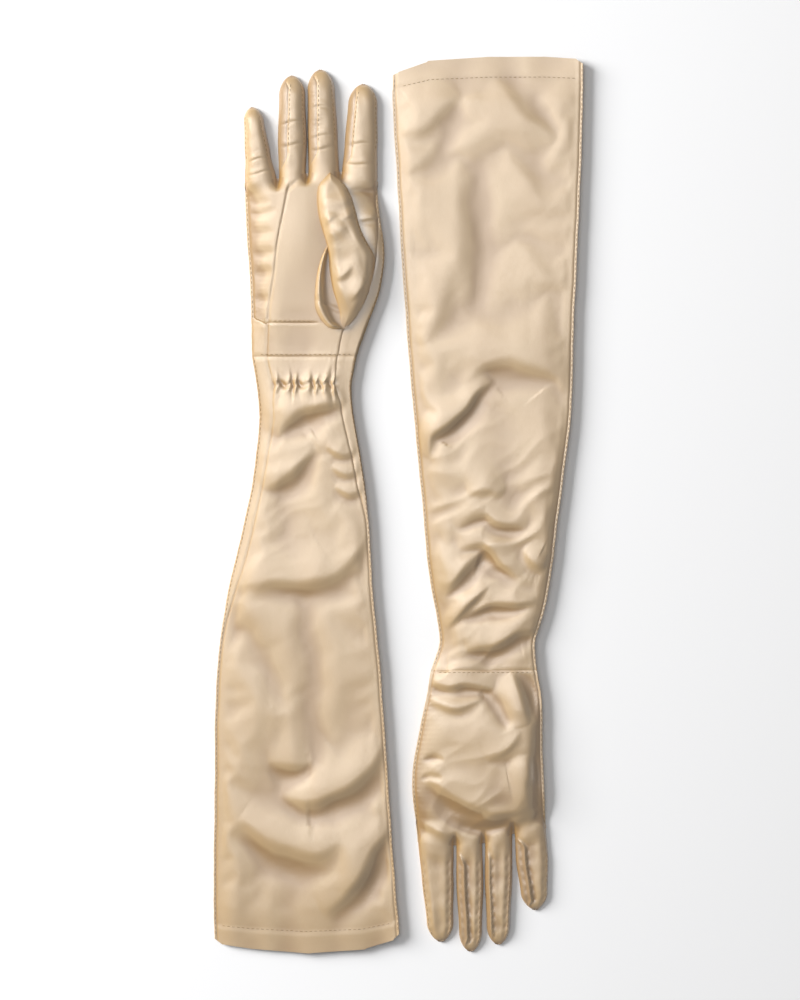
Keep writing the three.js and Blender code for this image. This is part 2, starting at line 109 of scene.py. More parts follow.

# Folds of the cloth as the pair lies: shape, height, width and route, in the object's x and y.
FOLDS = {
    "right": [
        ("step", 2.4, 5.8, [(-80, 47), (-74, 57), (-63, 66), (-39, 69)]),
        ("step", 1.8, 5.2, [(-87, 13), (-75, 21), (-66, 30), (-58, 38)]),
        ("step", 1.5, 6.6, [(-104, -52), (-82, -48), (-48, -46), (-35, -37), (-21, -18)]),
        ("step", 1.2, 5.2, [(-84, -168), (-72, -169), (-58, -168)]),
        ("step", 2.3, 6.3, [(-74, -191), (-56, -193), (-41, -187), (-28, -180), (-19, -169), (-11, -158)]),
        ("step", 1.9, 6.9, [(-101, -207), (-87, -217), (-70, -225), (-56, -228), (-41, -221)]),
        ("step", 2.6, 5.8, [(-47, -263), (-35, -253), (-26, -241), (-19, -226), (-7, -214)]),
        ("valley", 1.1, 7, [(-109, -71), (-96, -94), (-85, -112), (-79, -133)]),
        ("valley", 0.8, 8, [(-56, -62), (-56, -110), (-56, -172)]),
        ("ridge", 0.6, 6, [(-70, -60), (-71, -110), (-69, -165)]),
        ("ridge", 0.6, 6, [(-43, -60), (-42, -110), (-44, -165)]),
        ("step", 0.8, 2.5, [(-46, 38), (-37, 34), (-28, 37)]),
        ("step", 0.7, 2.5, [(-42, 25), (-34, 21), (-26, 24)]),
        ("step", 0.7, 2.5, [(-40, 12), (-32, 8), (-24, 11)]),
        ("valley", 0.5, 2.4, [(-98, 200), (-92, 199), (-85, 200)]),
        ("valley", 0.6, 2.4, [(-97, 192), (-90, 192), (-82, 194)]),
        ("valley", 0.4, 2.6, [(-96, 179), (-90, 179), (-83, 180)]),
        ("valley", 0.6, 2.8, [(-96, 166), (-90, 165), (-82, 167)]),
        ("valley", 0.7, 3.2, [(-96, 153), (-91, 152), (-84, 154)]),
        ("valley", 0.5, 2.8, [(-95, 136), (-91, 135), (-86, 137)]),
        ("valley", 0.7, 1.6, [(-33, 206), (-24, 207), (-13, 206)]),
        ("step", 0.9, 1.8, [(-25, 188), (-17, 190), (-8, 189)]),
        ("valley", 0.8, 1.1, [(-73, 207), (-69, 212), (-64, 216)]),
        ("ridge", 0.7, 12, [(-64, 196), (-66, 170), (-68, 135)]),
    ],
    "left": [
        ("step", 1.0, 5.6, [(99, 242), (81, 255), (70, 267), (62, 274)]),
        ("step", 0.7, 6.8, [(93, 195), (86, 207), (77, 219), (70, 232)]),
        ("step", 0.6, 6.8, [(97, 146), (84, 162), (77, 172)]),
        ("step", 1.1, 6.2, [(3, 247), (15, 251), (24, 259), (37, 269)]),
        ("step", 0.7, 6.2, [(6, 221), (18, 234), (29, 247)]),
        ("step", 0.7, 8.0, [(15, 111), (24, 133), (30, 159)]),
        ("valley", 1.0, 8, [(52, 230), (54, 190), (55, 130)]),
        ("ridge", 0.8, 6, [(40, 220), (41, 175), (43, 130)]),
        ("step", 1.6, 6.9, [(43, 83), (56, 95), (74, 98), (90, 94), (105, 86), (110, 76)]),
        ("step", 2.4, 3.9, [(19, 34), (21, 46), (31, 54), (43, 64), (50, 75), (60, 82)]),
        ("step", 1.7, 6.3, [(87, -75), (93, -40), (97, 0), (105, 55)]),
        ("step", 1.2, 3.9, [(47, 9), (58, 12), (68, 9)]),
        ("step", 1.5, 4.1, [(39, -13), (48, -7), (58, -4), (68, -10), (82, -14)]),
        ("step", 2.1, 4.4, [(41, -27), (52, -24), (60, -26), (68, -36), (78, -45)]),
        ("step", 1.1, 3.4, [(84, -29), (90, -37), (97, -38)]),
        ("step", 1.5, 4.2, [(29, -61), (36, -48), (47, -36), (55, -30)]),
        ("step", 1.2, 2.4, [(33, -78), (44, -66), (56, -55)]),
        ("step", 1.8, 3.4, [(45, -72), (60, -64), (78, -64), (88, -63)]),
        ("step", 2.3, 4.4, [(47, -94), (63, -90), (78, -82), (93, -82)]),
        ("step", 2.0, 3.6, [(22, -115), (32, -118), (44, -116), (60, -119)]),
        ("step", 1.2, 3.2, [(23, -129), (38, -132), (53, -127)]),
        ("valley", 1.5, 4, [(56, -124), (65, -132), (71, -146)]),
        ("step", 2.4, 4.2, [(84, -142), (80, -128), (75, -113)]),
        ("step", 0.9, 3.4, [(60, -166), (70, -160), (78, -150)]),
        ("step", 3.2, 6.0, [(22, -180), (40, -191), (56, -199), (74, -201), (88, -196)]),
        ("step", 1.6, 4.0, [(90, -196), (86, -184), (84, -168)]),
        ("ridge", 1.0, 3.0, [(36, -205), (52, -209), (70, -209)]),
        ("step", 1.5, 4.1, [(88, -206), (82, -186), (85, -172), (86, -148), (94, -130)]),
        ("valley", 0.8, 1.8, [(17, -168), (23, -167), (29, -168)]),
        ("valley", 0.8, 1.8, [(16, -180), (22, -179), (28, -180)]),
        ("ridge", 0.9, 2.2, [(14, -209), (25, -214), (34, -220)]),
        ("ridge", 1.1, 3, [(72, -214), (81, -207), (91, -200)]),
        ("valley", 0.9, 3, [(42, -212), (55, -214), (70, -211)]),
    ],
}

# Broad swellings: centre, half widths in x and y, height, in the same x and y.
SWELLINGS = {
    "right": [(-17, 178, 8, 12, 1.6), (-66, 180, 16, 30, 0.8)],
    "left": [(56, -158, 24, 26, 2.2), (58, 20, 30, 26, 0.8)],
}

# Seams within a panel, in the same x and y.
SEAMS = {
    "right": [
        [(-86, 122), (-85, 133), (-82, 152), (-80, 171), (-77, 187), (-73, 207)],
    ],
    "left": [],
}

# How high the upper cloth lies over the middle of each glove, from cuff to finger roots.
CROWN = {
    "right": [(-288, 2.4), (-262, 3.6), (0, 4.2), (60, 4.8), (80, 4.2), (98, 4.2), (135, 5.6), (205, 6.6)],
    "left": [(-288, 2.4), (-262, 3.6), (0, 4.4), (60, 5.2), (88, 5.4), (109, 4.8), (150, 6.4), (210, 5.6)],
}

# How crumpled the upper cloth is, along the object's y.
CRUMPLE_TURN = math.radians(30)  # from the frame's x to the run of the small folds
CRUMPLING = {
    "right": [(-288, 0.1), (-120, 0.1), (0, 0.4), (70, 0.8), (90, 0.3), (125, 0), (240, 0)],
    "left": [(-240, 0.7), (-130, 1.0), (-110, 1.5), (-50, 1.9), (10, 1.0), (80, 0.1), (280, 0.1)],
}

# How far in from each side the lower cloth comes over the top, along each glove.
MARGINS = {
    "right": {
        "left": [(-96, 1.6), (-29, 6.5), (7, 6.6), (66, 9), (78, 10.6), (95, 9.8), (118, 10.8), (124, 1.6)],
        "right": [(-12, 1.6), (16, 5), (65, 7.2), (82, 11), (99, 12.5), (114, 14.5), (124, 12),
                  (140, 8.5), (165, 5), (188, 1.6)],
    },
    "left": {"left": [(0, 1.6), (1, 1.6)], "right": [(0, 1.6), (1, 1.6)]},
}

# Widths of the side strips that show from above, on each finger's outer and inner side.
STRIPS = {
    "right": {"little": (0, 1.2), "ring": (6.2, 0.8), "middle": (6.2, 0.9), "index": (4.6, 0)},
    "left": {"little": (0, 5.8), "ring": (0.9, 2.6), "middle": (0.9, 5.0), "index": (0.9, 0)},
}
# Creases across each finger, as shares of its length.
CREASES = {
    "right": {
        "little": (0.1, 0.28),
        "ring": (0.3, 0.52),
        "middle": (0.22, 0.34, 0.62),
        "index": (0.12, 0.34),
    },
    "left": dict.fromkeys(FINGERS, ()),
}


def smoothstep(start, end, x):
    """0 before start, 1 after end, and eased between them. Start may be the greater."""
    t = np.clip((np.asarray(x, float) - start) / (end - start), 0, 1)
    return t * t * (3 - 2 * t)


def bell(x, width):
    return np.exp(-((np.asarray(x) / width) ** 2))


def lerp(a, b, t):
    return a + (b - a) * t


def profile(points):
    """A function that eases from point to point of a list of (place, value)."""
    places, values = (np.array(column, float) for column in zip(*points))

    def at(x):
        i = np.clip(np.searchsorted(places, x) - 1, 0, len(places) - 2)
        t = smoothstep(0, 1, (np.asarray(x) - places[i]) / (places[i + 1] - places[i]))
        return lerp(values[i], values[i + 1], t)

    return at


def curve_through(points, step):
    """Points every step or so along a smooth curve through the given ones."""
    p = np.array(points, float)
    ends = np.vstack([2 * p[0] - p[1], p, 2 * p[-1] - p[-2]])
    parts = []
    for a, b, c, d in zip(ends, ends[1:], ends[2:], ends[3:]):
        n = max(2, int(np.linalg.norm(c - b) / step))
        t = np.linspace(0, 1, n, endpoint=False)[:, None]
        parts.append(
            0.5 * (2 * b + (c - a) * t + (2 * a - 5 * b + 4 * c - d) * t**2
                   + (3 * b - a - 3 * c + d) * t**3)
        )
    return np.vstack([*parts, p[-1:]])


def noise(x, y, seed):
    """Gradient noise, from about -0.7 to 0.7, with features about 1 apart."""
    angle = np.random.default_rng(seed).uniform(0, 2 * math.pi, (64, 64))
    x, y = np.broadcast_arrays(np.asarray(x, float), np.asarray(y, float))
    i, j = np.floor(x).astype(int), np.floor(y).astype(int)
    u, v = x - i, y - j

    def corner(di, dj):
        a = angle[(i + di) % 64, (j + dj) % 64]
        return np.cos(a) * (u - di) + np.sin(a) * (v - dj)

    su, sv = smoothstep(0, 1, u), smoothstep(0, 1, v)
    return lerp(lerp(corner(0, 0), corner(1, 0), su), lerp(corner(0, 1), corner(1, 1), su), sv)


def blurred(values, sigma, axis=0):
    """values smoothed along one axis, sigma in samples."""
    reach = max(1, int(3 * sigma))
    weights = bell(np.arange(-reach, reach + 1), sigma * math.sqrt(2))
    weights /= weights.sum()
    pad = [(0, 0)] * values.ndim
    pad[axis] = (reach, reach)
    padded = np.pad(values, pad, mode="edge")
    return np.apply_along_axis(lambda v: np.convolve(v, weights, "valid"), axis, padded)


def lengthened(points, share=0.22):
    """A route carried on past both of its ends."""
    p = np.array(points, float)
    return np.vstack([p[0] + share * (p[0] - p[1]), p, p[-1] + share * (p[-1] - p[-2])])


def along_stroke(points, x, y, reach):
    """Signed distance from a curve (positive on its left) and how far along it, near it."""
    curve = curve_through(lengthened(points), 1.0)
    low, high = curve.min(0) - reach, curve.max(0) + reach
    near = (x > low[0]) & (x < high[0]) & (y > low[1]) & (y < high[1])
    distance = np.full(x.shape, 1e3)
    place = np.zeros(x.shape)
    length = np.r_[0, np.cumsum(np.linalg.norm(np.diff(curve, axis=0), axis=1))]
    if near.any():
        p = np.stack([x[near], y[near]], 1)
        gap = p[:, None, :] - curve[None]
        nearest = (gap**2).sum(2).argmin(1)
        tangent = np.gradient(curve, axis=0)
        tangent /= np.linalg.norm(tangent, axis=1, keepdims=True)
        off, t = gap[np.arange(len(p)), nearest], tangent[nearest]
        side = t[:, 0] * off[:, 1] - t[:, 1] * off[:, 0]
        ahead = (t * off).sum(1)
        beyond = np.where((nearest == 0) | (nearest == len(curve) - 1), np.abs(ahead), 0)
        distance[near] = np.where(side < 0, -1, 1) * np.hypot(side, beyond)
        place[near] = length[nearest] + ahead
    return distance, place, length[-1]


def fold_profile(s):
    """Across a fold, s in widths from its crest: a broad shoulder, then a quick drop into a hollow."""
    shoulder = bell(s, 2.0)
    drop = bell(s, 0.8) - 0.5 * bell(s + 1.45, 0.95) * smoothstep(0, -0.9, s)
    return np.where(s > 0, shoulder, drop)


def stroke_height(shape, height, width, points, x, y):
    """What one fold adds to the cloth: a ridge, a valley, or a step raised on its left, sunk on its right."""
    s, place, length = along_stroke(points, x, y, 6 * width)
    share = np.clip(place / length, 0, 1)
    swell = np.sin(math.pi * share) ** 0.9
    wander = 0.22 * noise(x / 18, y / 18, 61)
    s = s / (FOLD_SPREAD * width * (0.55 + 0.6 * swell)) + wander
    if shape == "step":
        return height * swell * fold_profile(s)
    return height * swell * bell(s, 1) * (1 if shape == "ridge" else -1)


def raised_seam(off, along):
    """A seam that stands up, with the cloth sunk and puckered beside it."""
    pucker = 0.12 * np.cos(2 * math.pi * along / (2 * STITCH)) * bell(np.abs(off) - 2.4, 1.4)
    return 0.6 * bell(off, 0.9) - (0.4 + pucker) * bell(np.abs(off) - 2.4, 1.5)


def seam_relief(off, along):
    """A sewn seam: a groove, with the cloth puckered on both sides of it."""
    uneven = 1 + np.cos(2 * math.pi * along / STITCH) * (0.6 + noise(along / 7, 0.5, 71))
    return 0.05 * uneven * bell(np.abs(off) - 1.8, 1.2) - 0.26 * bell(off, 0.7)


class Outline:
    """What the CAD nodes of one glove say, in the glove's own frame."""

    def __init__(self, side):
        self.side = side
        self.sign = 1 if side == "right" else -1
        self.lower_hand = (
            ["right_hand_back_panel"] if side == "right" else ["left_heel_panel", "left_palm_panel"]
        )
        self.lower_sleeve = f"{side}_sleeve_{'back' if side == 'right' else 'palm'}_panel"

    def vertices(self, node):
        mesh = frame["nodes"][node].data
        co = np.empty(len(mesh.vertices) * 3)
        mesh.vertices.foreach_get("co", co)
        co = co.reshape(-1, 3) / MM
        co[:, :2] *= self.sign
        return co

    def spans(self, nodes, levels, turn=0.0):
        """The least and greatest x of the nodes where each level of y cuts them, once turned back."""
        low, high = np.full(len(levels), np.inf), np.full(len(levels), -np.inf)
        c, s = math.cos(turn), math.sin(turn)
        for node in nodes:
            co = self.vertices(node)[:, :2] @ np.array([[c, -s], [s, c]])
            ends = np.array([e.vertices[:] for e in frame["nodes"][node].data.edges])
            a, b = co[ends[:, 0]], co[ends[:, 1]]
            for i, level in enumerate(levels):
                cut = (a[:, 1] - level) * (b[:, 1] - level) < 0
                if cut.any():
                    t = (level - a[cut, 1]) / (b[cut, 1] - a[cut, 1])
                    x = lerp(a[cut, 0], b[cut, 0], t)
                    low[i], high[i] = min(low[i], x.min()), max(high[i], x.max())
        return low, high


class Finger:
    """One finger's plan: a root line, a tip, and its width between them."""

    def __init__(self, outline, name):
        node = f"{outline.side}_{name}_{'back' if outline.side == 'right' else 'palm'}_piece"
        co = outline.vertices(node)[:, :2]
        self.name = name
        self.number = FINGERS.index(name)
        self.left = co[np.argmin(co[:, 0] + co[:, 1])]
        self.right = co[np.argmin(co[:, 1] - co[:, 0])]
        self.tip = co[np.argsort(co[:, 1])[-4:]].mean(0)
        self.root = (self.left + self.right) / 2
        self.along = self.tip - self.root
        self.length = float(np.linalg.norm(self.along))
        levels = [self.root[1] + share * self.along[1] for share in (0.35, 0.8)]
        low, high = outline.spans([node], levels)
        lean = self.along[1] / self.length
        middle, end = (high - low) / 2 * lean
        half = (self.right[0] - self.left[0]) / 2
        fuller = FINGER_FULLER[outline.side]
        self.half = profile([(0, half), (0.35, middle + fuller), (0.8, end + fuller), (1.01, end * 0.9)])
        self.round = 1.5 * end / self.length
        self.crown = FINGER_TOP[outline.side]
        self.sunk = FINGER_SUNK[outline.side]
        self.strips = STRIPS[outline.side][name]
        self.creases = CREASES[outline.side][name]

    def plan(self, t, q):
        """The place at share t of the length and q across, from -1 to 1."""
        into = np.clip((t - 1 + self.round) / self.round, 0, 1)
        half = self.half(t) * np.sqrt(np.maximum(1 - into**2.2, 0.0016))
        normal = np.array([self.along[1], -self.along[0]]) / self.length
        flat = np.array([1, (self.right[1] - self.left[1]) / (self.right[0] - self.left[0])])
        square = smoothstep(0, 0.25, t)[..., None]
        across = flat * (1 - square) + normal * square
        return self.root + self.along * t[..., None] + across * (q * half)[..., None]

    def top(self, t, q):
        """The height of its upper side."""
        end = np.clip((t - 0.6) / 0.4, 0, 1)
        crown = self.crown * np.sqrt(np.clip(1 - end**2.6, 0.03, 1))
        z = SEAM_HEIGHT + (crown - SEAM_HEIGHT) * tube_rise(q)
        z = z - self.sunk * bell(q, 0.5) * smoothstep(0, 0.2, t) * smoothstep(1, 0.8, t)
        place = self.plan(t + 0 * q, q)
        wander = 0.5 * noise(place[..., 0] / 8, place[..., 1] / 9, 20 + self.number)
        away = smoothstep(0, 0.12, t)
        z = z + wander * (1 - q**2) * away * smoothstep(1, 0.85, t)
        for i, crease in enumerate(self.creases):
            bent = t - crease - 0.015 * np.sin(3 * q + i)
            z = z - away * (1 - q**2) * (0.3 * bell(bent, 0.014) - 0.2 * bell(bent - 0.04, 0.03))
        return z

    def under(self, t, q):
        """The height of its under side, rolled up at both edges."""
        reach = np.clip((1 - np.abs(q)) * self.half(t) / 2, 0, 1)
        return SEAM_HEIGHT * (1 - np.sqrt(1 - (1 - reach) ** 2))


def tube_rise(q):
    """How high a flattened tube stands, from 0 at its sides to 1 along its middle."""
    return np.clip(1 - np.abs(q) ** 2.4, 0, 1) ** 0.6


class Glove:
    """One glove's plan and the heights of its upper and lower cloth over it."""

    def __init__(self, side):
        self.side, self.palm_up = side, side == "right"
        self.cad = Outline(side)
        self.sign = self.cad.sign
        self.fingers = [Finger(self.cad, name) for name in FINGERS]
        self.root_left, self.root_right = self.fingers[0].left, self.fingers[-1].right
        self.measure_cuff()
        self.measure_sides()
        self.crown = profile(CROWN[side])
        self.crumpling = profile(CRUMPLING[side])
        margins = MARGINS[side]
        self.margin_left, self.margin_right = profile(margins["left"]), profile(margins["right"])
        self.palm_seam = self.cad.vertices(f"{side}_heel_panel")[:, 1].max() + 0.3
        self.gather_line = self.cad.vertices(f"{side}_wrist_elastic")[:, 1].mean()
        self.thumb = Thumb(self)

    def measure_cuff(self):
        """The wrist seam, and the cuff's place and curve."""
        sleeve = self.cad.vertices(self.cad.lower_sleeve)
        self.seam = sleeve[:, 1].max() + 0.15
        first_row = sleeve[sleeve[:, 1] < sleeve[:, 1].min() + 14]
        first_row = first_row[np.argsort(first_row[:, 0])][::2, :2]
        self.cuff = first_row[[0, -1], 1].mean()
        edge = curve_through(first_row, 2)
        self.cuff_share = (edge[:, 0] - edge[0, 0]) / (edge[-1, 0] - edge[0, 0])
        self.cuff_bow = edge[:, 1] - self.cuff
        self.first_level = first_row[:, 1].max() + 0.5

    def measure_sides(self):
        """The outline's left and right side, from the lower cloth's solids."""
        last = max(self.root_left[1], self.root_right[1])
        self.levels = np.arange(self.first_level, last, 1.5)
        low, high = self.cad.spans([self.cad.lower_sleeve, *self.cad.lower_hand], self.levels)
        low[self.levels > self.root_left[1] - 1] = self.root_left[0]
        high[self.levels > self.root_right[1] - 1] = self.root_right[0]
        for side in (low, high):
            missing = ~np.isfinite(side)
            side[missing] = np.interp(self.levels[missing], self.levels[~missing], side[~missing])
        self.low, self.high = blurred(low, 2.5), blurred(high, 2.5)

    # plan
    def side_at(self, y, values, root, seed):
        """A side of the outline, eased to the finger's root and puckered by the stitches."""
        y = np.minimum(y, root[1])
        x = np.interp(y, self.levels, values)
        x = x + (root[0] - np.interp(root[1], self.levels, values)) * smoothstep(root[1] - 15, root[1], y)
        free = smoothstep(root[1], root[1] - 20, y)
        pucker = 0.06 * np.cos(2 * math.pi * y / STITCH)
        return x + free * (pucker + 0.45 * noise(y / 23, 0.4, seed) + 0.2 * noise(y / 6, 0.2, seed + 1))

    def left(self, y):
        """The outline's x on its left side."""
        return self.side_at(y, self.low, self.root_left, 31)

    def right(self, y):
        """The outline's x on its right side."""
        return self.side_at(y, self.high, self.root_right, 41)

    def bow(self, y, share):
        """How far the cuff's curved edge moves the cloth along the glove."""
        fade = 1 - np.clip((y - self.cuff) / 30, 0, 1)
        return np.interp(share, self.cuff_share, self.cuff_bow) * fade

    def placed(self, x, y, z):
        """Points in the object's frame, in metres."""
        x, y, z = np.broadcast_arrays(x, y, z)
        return np.stack([self.sign * x, self.sign * y, z], -1) * MM

    def inner_sides(self, y):
        """Where the upper cloth's own sides run: the seams, a little in from the outline."""
        open_roots = smoothstep(0, 14, np.minimum(self.root_left[1], self.root_right[1]) - y)
        left = self.left(y) + lerp(0.15, self.margin_left(y), open_roots)
        return left, self.right(y) - lerp(0.15, self.margin_right(y), open_roots)

    # height
    def seam_height(self, x, y):
        """How high the upper and lower cloth meet at the sides, as a smooth height over the whole glove."""
        left, right = self.left(y), self.right(y)
        share = (x - left) / (right - left)
        away = smoothstep(0.25, 1, share if self.palm_up else 1 - share)
        before_roots = smoothstep(0, 25, min(self.root_left[1], self.root_right[1]) - y)
        height = (FAR_SEAM_HEIGHT - SEAM_HEIGHT) * away
        if not self.palm_up:
            height = height + THUMB_SIDE_RISE * smoothstep(0.3, 0.9, share) * smoothstep(96, 118, y)
        return SEAM_HEIGHT + height * before_roots

    def top(self, x, y):
        """The upper cloth's outer face over the sleeve and the hand."""
        left, right = self.left(y), self.right(y)
        in_left, in_right = self.inner_sides(y)
        d = np.minimum(x - left, right - x)
        roll = EDGE_ROLL * (1 + 0.3 * noise(y / 31, 0.5, 3))
        rise = np.sin(math.pi / 2 * np.clip(d / roll, 0, 1)) ** 0.85
        inner = smoothstep(0, 12, d)
        seam = self.seam_height(x, y)
        z = seam + (self.crown(y) + 0.35 * (seam - SEAM_HEIGHT) - seam) * rise
        z = z + inner * self.wander(x, y)
        sx, sy = self.sign * x, self.sign * y
        z = z + self.relief(sx, sy) * smoothstep(-1, 6, d)
        z = z + self.crumple(sx, sy) * inner
        z = z + self.gathers(x, y) * smoothstep(0, 3, d)
        z = z + self.sewing(x, y, in_left, in_right)
        if not self.palm_up:
            raised = self.bottom(x, y) + 1.3
            over = (z + raised + np.hypot(z - raised, 0.8)) / 2
            z = lerp(z, over, smoothstep(0, 4, d))
        return np.maximum(z, 0.7)

    def wander(self, x, y):
        """Slack in the cloth: long soft waves along the glove, and fainter ones across it."""
        warp = 10 * noise(x / 45, y / 70, 7)
        long_waves = 1.1 * noise((x + warp) / 21, y / 130, 5)
        slanting = 0.2 * noise((x + y + warp) / 48, (y - x) / 60, 6)
        return SLACK_WAVES[self.side] * (long_waves + slanting)

    def crumple(self, sx, sy):
        """Small sharp folds running aslant, from places in the object's frame."""
        c, s = math.cos(CRUMPLE_TURN), math.sin(CRUMPLE_TURN)
        along, across = c * sx + s * sy, c * sy - s * sx
        waves = noise(along / 42, across / 14 + 0.8 * noise(along / 25, across / 25, 81), 82)
        return self.crumpling(sy) * (0.25 - np.sqrt(waves**2 + 0.002))

    def relief(self, sx, sy):
        """Folds, swellings and seams within a panel, from places in the object's frame."""
        z = np.zeros(sx.shape)
        for fold in FOLDS[self.side]:
            z += stroke_height(*fold, sx, sy)
        for cx, cy, half_x, half_y, height in SWELLINGS[self.side]:
            z += height * bell(sx - cx, half_x) * bell(sy - cy, half_y)
        for route in SEAMS[self.side]:
            off, _, _ = along_stroke(route, sx, sy, 6)
            z += 0.25 * smoothstep(-0.4, 0.8, off) * bell(off, 5) - 0.3 * bell(off, 0.9)
        return z

    def sewing(self, x, y, in_left, in_right):
        """The grooves at the side seams, at the wrist and across the palm, and the hem's step."""
        z = seam_relief(x - in_left, y) + seam_relief(in_right - x, y)
        z = z + seam_relief(y - self.seam, x)
        if self.palm_up:
            z = z + seam_relief(y - self.palm_seam, x) * smoothstep(-52, -56, x)
        return z + 0.3 * smoothstep(HEM_DEPTH + 1, HEM_DEPTH - 1, y - self.cuff)

    def gathers(self, x, y):
        """Pleats at the wrist, where elastic draws the upper cloth in."""
        if not self.palm_up:
            return 0 * x
        off = x - GATHERS_MIDDLE
        across = smoothstep(GATHERS_HALF_WIDTH + 4, GATHERS_HALF_WIDTH - 3, np.abs(off))
        away = y - self.gather_line - 2.5
        spread = 1 + 0.012 * np.abs(away)
        phase = 2 * math.pi * (off / (PLEAT * spread) + 0.6 * noise(x / 9, 0.3, 12))
        line = away - 1.3 * np.sin(phase)
        reach = np.where(line > 0, 6, 8) * (1 + 0.8 * noise(x / 6, 0.7, 14))
        ruffle = 0.75 * np.cos(phase) * bell(line, reach) * (0.8 + 0.7 * noise(x / 5, y / 40, 13))
        return across * (ruffle - 0.6 * bell(line, 1.5) + 0.3 * bell(np.abs(line) - 3.2, 2.2))

    def bottom(self, x, y):
        """The lower cloth's outer face, lifted where the thumb lies under it."""
        d = np.minimum(x - self.left(y), self.right(y) - x)
        turn = np.sqrt(np.clip(1 - (1 - np.clip(d / UNDER_ROLL, 0, 1)) ** 2, 0, 1))
        z = self.seam_height(x, y) * (1 - turn)
        return z if self.palm_up else np.maximum(z, self.thumb.lift(x, y))


